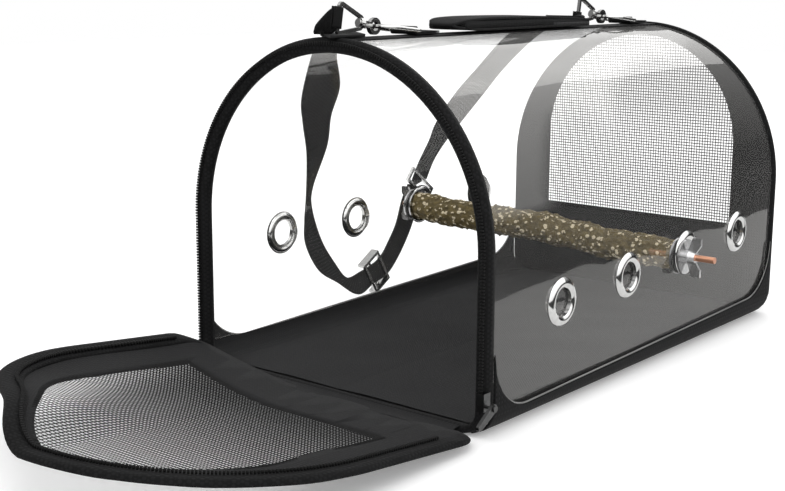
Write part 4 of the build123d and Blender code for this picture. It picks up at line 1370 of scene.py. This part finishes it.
@dataclass
class ShoulderStrap:
    """The long webbing from clip to clip, with its glide and ring."""

    finishes: Finishes

    def hanging_run(self) -> None:
        """Builds the run that hangs outside the left wall and turns up at its end."""
        left = points([
            (8, -221, 250), (-20, -200, 250), (-34, -183, 247), (-67, -157, 233), (-109, -124, 196),
            (-121, -110, 175), (-132, -94, 147), (-146, -80, 110), (-149, -79, 90), (-149, -78, 69),
            (-149, -62, 44), (-149, -38, 29), (-149, -12, 14), (-149, 8, 20), (-149, 28, 26),
            (-149, 44, 40), (-149, 58, 58), (-149, 70, 78), (-149, 82, 92),
        ])
        right = points([
            (8, -186, 250), (-20, -168, 250), (-44, -149, 243), (-68, -130, 232), (-97, -94, 205),
            (-119, -80, 179), (-130, -73, 153), (-145, -74, 118), (-149, -71, 99), (-149, -60, 71),
            (-149, -44, 49), (-149, -27, 32), (-149, -8, 34), (-149, 8, 38), (-149, 20, 44),
            (-149, 31, 56), (-149, 41, 70), (-149, 49, 90), (-149, 58, 104),
        ])
        piece = ribbon("strap_long_webbing", left, right, self.finishes.shoulder_webbing, 220)
        place_piece(piece, "cabin", "webbing", "strap_long")

    def rising_run(self) -> None:
        """Builds the run that rises from the hanging end back over the roof."""
        upper = points([
            (-149, 60, 100), (-146, 68, 120), (-136, 72, 143), (-128, 72, 160), (-116, 84, 186),
            (-99, 92, 208), (-65, 82, 235), (-30, 60, 249), (0, 42, 252.5), (19, 30, 252.5),
        ])
        lower = points([
            (-149, 84, 106), (-146, 92, 124), (-137, 100, 143), (-128, 112, 161), (-117, 128, 184),
            (-100, 136, 208), (-67, 130, 234), (-30, 108, 248), (0, 92, 252), (19, 84, 252),
        ])
        piece = ribbon("strap_shoulder_webbing", upper, lower, self.finishes.shoulder_webbing, 140)
        place_piece(piece, "cabin", "webbing")

    def roof_fold(self) -> None:
        """Builds the folded webbing on the roof and the ply inside it."""
        fold_left = points([
            (-19, 84, 250.6), (-19, 20, 250.6), (-19, -50, 250.6), (-18, -72, 250.8), (-16, -84, 251.8),
            (-11, -91, 254.0), (-16, -84, 256.4), (-18, -72, 257.9), (-19, -40, 258.4), (-19, 20, 257.6),
            (-19, 60, 256.0), (-19, 86, 254.2),
        ])
        fold = ribbon("strap_roof_fold", fold_left, mirrored(fold_left), self.finishes.webbing, 160)
        place_piece(fold, "cabin", "webbing", "strap_short")
        inner_left = points([(-14, -84, 254.1), (-18.0, -72, 254.3), (-18.8, 20, 254.1), (-18.8, 84, 252.4)])
        inner = ribbon(
            "strap_roof_inner_ply", inner_left, mirrored(inner_left), self.finishes.webbing, 120, 0.0052
        )
        place_piece(inner, "cabin", "webbing")

    def build(self, frame: dict) -> None:
        """Builds every run of webbing and dresses the metal."""
        self.hanging_run()
        self.rising_run()
        self.roof_fold()
        dress(frame, "tri_glide", self.finishes.nickel)
        dress(frame, "strap_ring", self.finishes.nickel)


# ------------------------------------------------------------------ studio
@dataclass
class Studio:
    """Pale floor, soft lamps and the camera; mirrors see the floor only as a strip of paper."""

    camera_at: Vector = field(default_factory=lambda: Vector((0.59649, -0.87566, 0.29133)))
    yaw: float = math.radians(39.28)
    pitch: float = math.radians(11.56)
    roll: float = math.radians(0.27)
    lens: float = 61.2
    paper_half: float = 0.345
    window_strength: float = 1.7

    def camera(self) -> None:
        """Creates the camera."""
        level_ahead = Vector((-math.sin(self.yaw), math.cos(self.yaw), 0))
        forward = level_ahead * math.cos(self.pitch) - Axis3.Z.value * math.sin(self.pitch)
        level = Vector((math.cos(self.yaw), math.sin(self.yaw), 0))
        upright = level.cross(forward)
        right = level * math.cos(self.roll) + upright * math.sin(self.roll)
        up = upright * math.cos(self.roll) - level * math.sin(self.roll)
        data = bpy.data.cameras.new("view")
        data.lens = self.lens
        data.sensor_width = 36.0
        data.clip_start = 0.02
        camera = bpy.data.objects.new("view", data)
        turn = Matrix((right, up, -forward)).transposed().to_4x4()
        camera.matrix_world = Matrix.Translation(self.camera_at) @ turn
        bpy.context.scene.collection.objects.link(camera)
        bpy.context.scene.camera = camera

    def lamp(self, name: str, at: Vector, to: Vector, size: float, power: float) -> None:
        """Adds one soft lamp aimed at a point."""
        data = bpy.data.lights.new(name, "AREA")
        data.size = size
        data.energy = power
        lamp = bpy.data.objects.new(name, data)
        lamp.location = at
        lamp.rotation_euler = (to - at).to_track_quat("-Z", "Y").to_euler()
        bpy.context.scene.collection.objects.link(lamp)

    def floor(self) -> None:
        """Lays the pale floor, which mirrors see as a strip of paper."""
        bm = bmesh.new()
        bmesh.ops.create_grid(bm, x_segments=1, y_segments=1, size=4.0)
        bmesh.ops.translate(bm, verts=bm.verts, vec=(0, 0, -0.0004))
        made, nodes, shader = start_material("studio_floor")
        shader.inputs["Roughness"].default_value = 0.9
        shader.inputs["Specular IOR Level"].default_value = 0.1
        shader.inputs["Emission Strength"].default_value = 0.22
        rays = nodes.add("ShaderNodeLightPath")
        place = nodes.add("ShaderNodeTexCoord")
        across = nodes.split(place.outputs["Object"])["X"]
        aside = nodes.math("GREATER_THAN", nodes.math("ABSOLUTE", across), self.paper_half)
        unlit = nodes.math("MULTIPLY", aside, rays.outputs["Is Glossy Ray"])
        nodes.join(nodes.blend(unlit, (0.93, 0.93, 0.93), (0.02, 0.02, 0.02)), shader.inputs["Base Color"])
        nodes.join(nodes.blend(unlit, (1.0, 1.0, 1.0), (0.0, 0.0, 0.0)), shader.inputs["Emission Color"])
        settle(bm, "studio_floor", made)

    def world(self) -> None:
        """Lights the world evenly; mirrors see it darken upward, with one bright window."""
        world = bpy.data.worlds.new("studio")
        world.use_nodes = True
        nodes = Nodes(world.node_tree)
        background = world.node_tree.nodes["Background"]
        rays = nodes.add("ShaderNodeLightPath")
        place = nodes.add("ShaderNodeTexCoord")
        parts = nodes.split(place.outputs["Generated"])
        rise = nodes.add("ShaderNodeMapRange", From_Min=0.1, From_Max=0.6, To_Min=0.97, To_Max=0.15)
        nodes.join(parts["Z"], rise.inputs["Value"])
        shade = nodes.math("MULTIPLY", rays.outputs["Is Glossy Ray"], rise.outputs[0])
        window = nodes.math("MULTIPLY", rays.outputs["Is Glossy Ray"], self.window_strength)
        lean = nodes.math("ADD", nodes.math("MULTIPLY", parts["X"], 0.07), parts["Y"])
        for value, dark, lit in ((lean, 0.875, 0.858), (parts["X"], -0.35, -0.1), (parts["Z"], 0.0, 0.08)):
            ramp = nodes.add("ShaderNodeMapRange", From_Min=dark, From_Max=lit)
            nodes.join(value, ramp.inputs["Value"])
            window = nodes.math("MULTIPLY", window, ramp.outputs[0])
        ambient = nodes.math("SUBTRACT", 1.0, shade)
        nodes.join(nodes.math("ADD", ambient, window), background.inputs["Strength"])
        background.inputs["Color"].default_value = (1.0, 1.0, 1.0, 1.0)
        bpy.context.scene.world = world
        bpy.context.scene.view_settings.view_transform = "Standard"
        bpy.context.scene.cycles.transparent_max_bounces = 24

    def build(self) -> None:
        """Builds camera, lamps and floor."""
        self.camera()
        self.floor()
        self.world()
        middle = Vector((0, 0, 0.1))
        self.lamp("key", Vector((0.6, -0.9, 1.5)), middle, 1.2, 5.0)
        self.lamp("left_fill", Vector((-1.4, -0.6, 0.9)), middle, 1.0, 3.0)
        self.lamp("back_rim", Vector((-0.4, 1.5, 1.1)), middle, 1.0, 5.0)


def main() -> None:
    """Builds the carrier and the studio round it."""
    logging.basicConfig(level=logging.INFO, format="%(name)s: %(message)s")
    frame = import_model()
    Studio().build()
    finishes = Finishes()
    Cabin(finishes).build(frame)
    Zip(finishes).build(frame)
    FrontDoor(finishes).build()
    Perch(finishes).build(frame)
    for name, tab_y, gather in (("front", -0.134, 1.0), ("back", 0.168, 0.35)):
        RoofClip(finishes, name, tab_y, gather=gather).build(frame)
    ShoulderStrap(finishes).build(frame)
    bpy.context.view_layer.update()


if __name__ == "__main__":
    main()
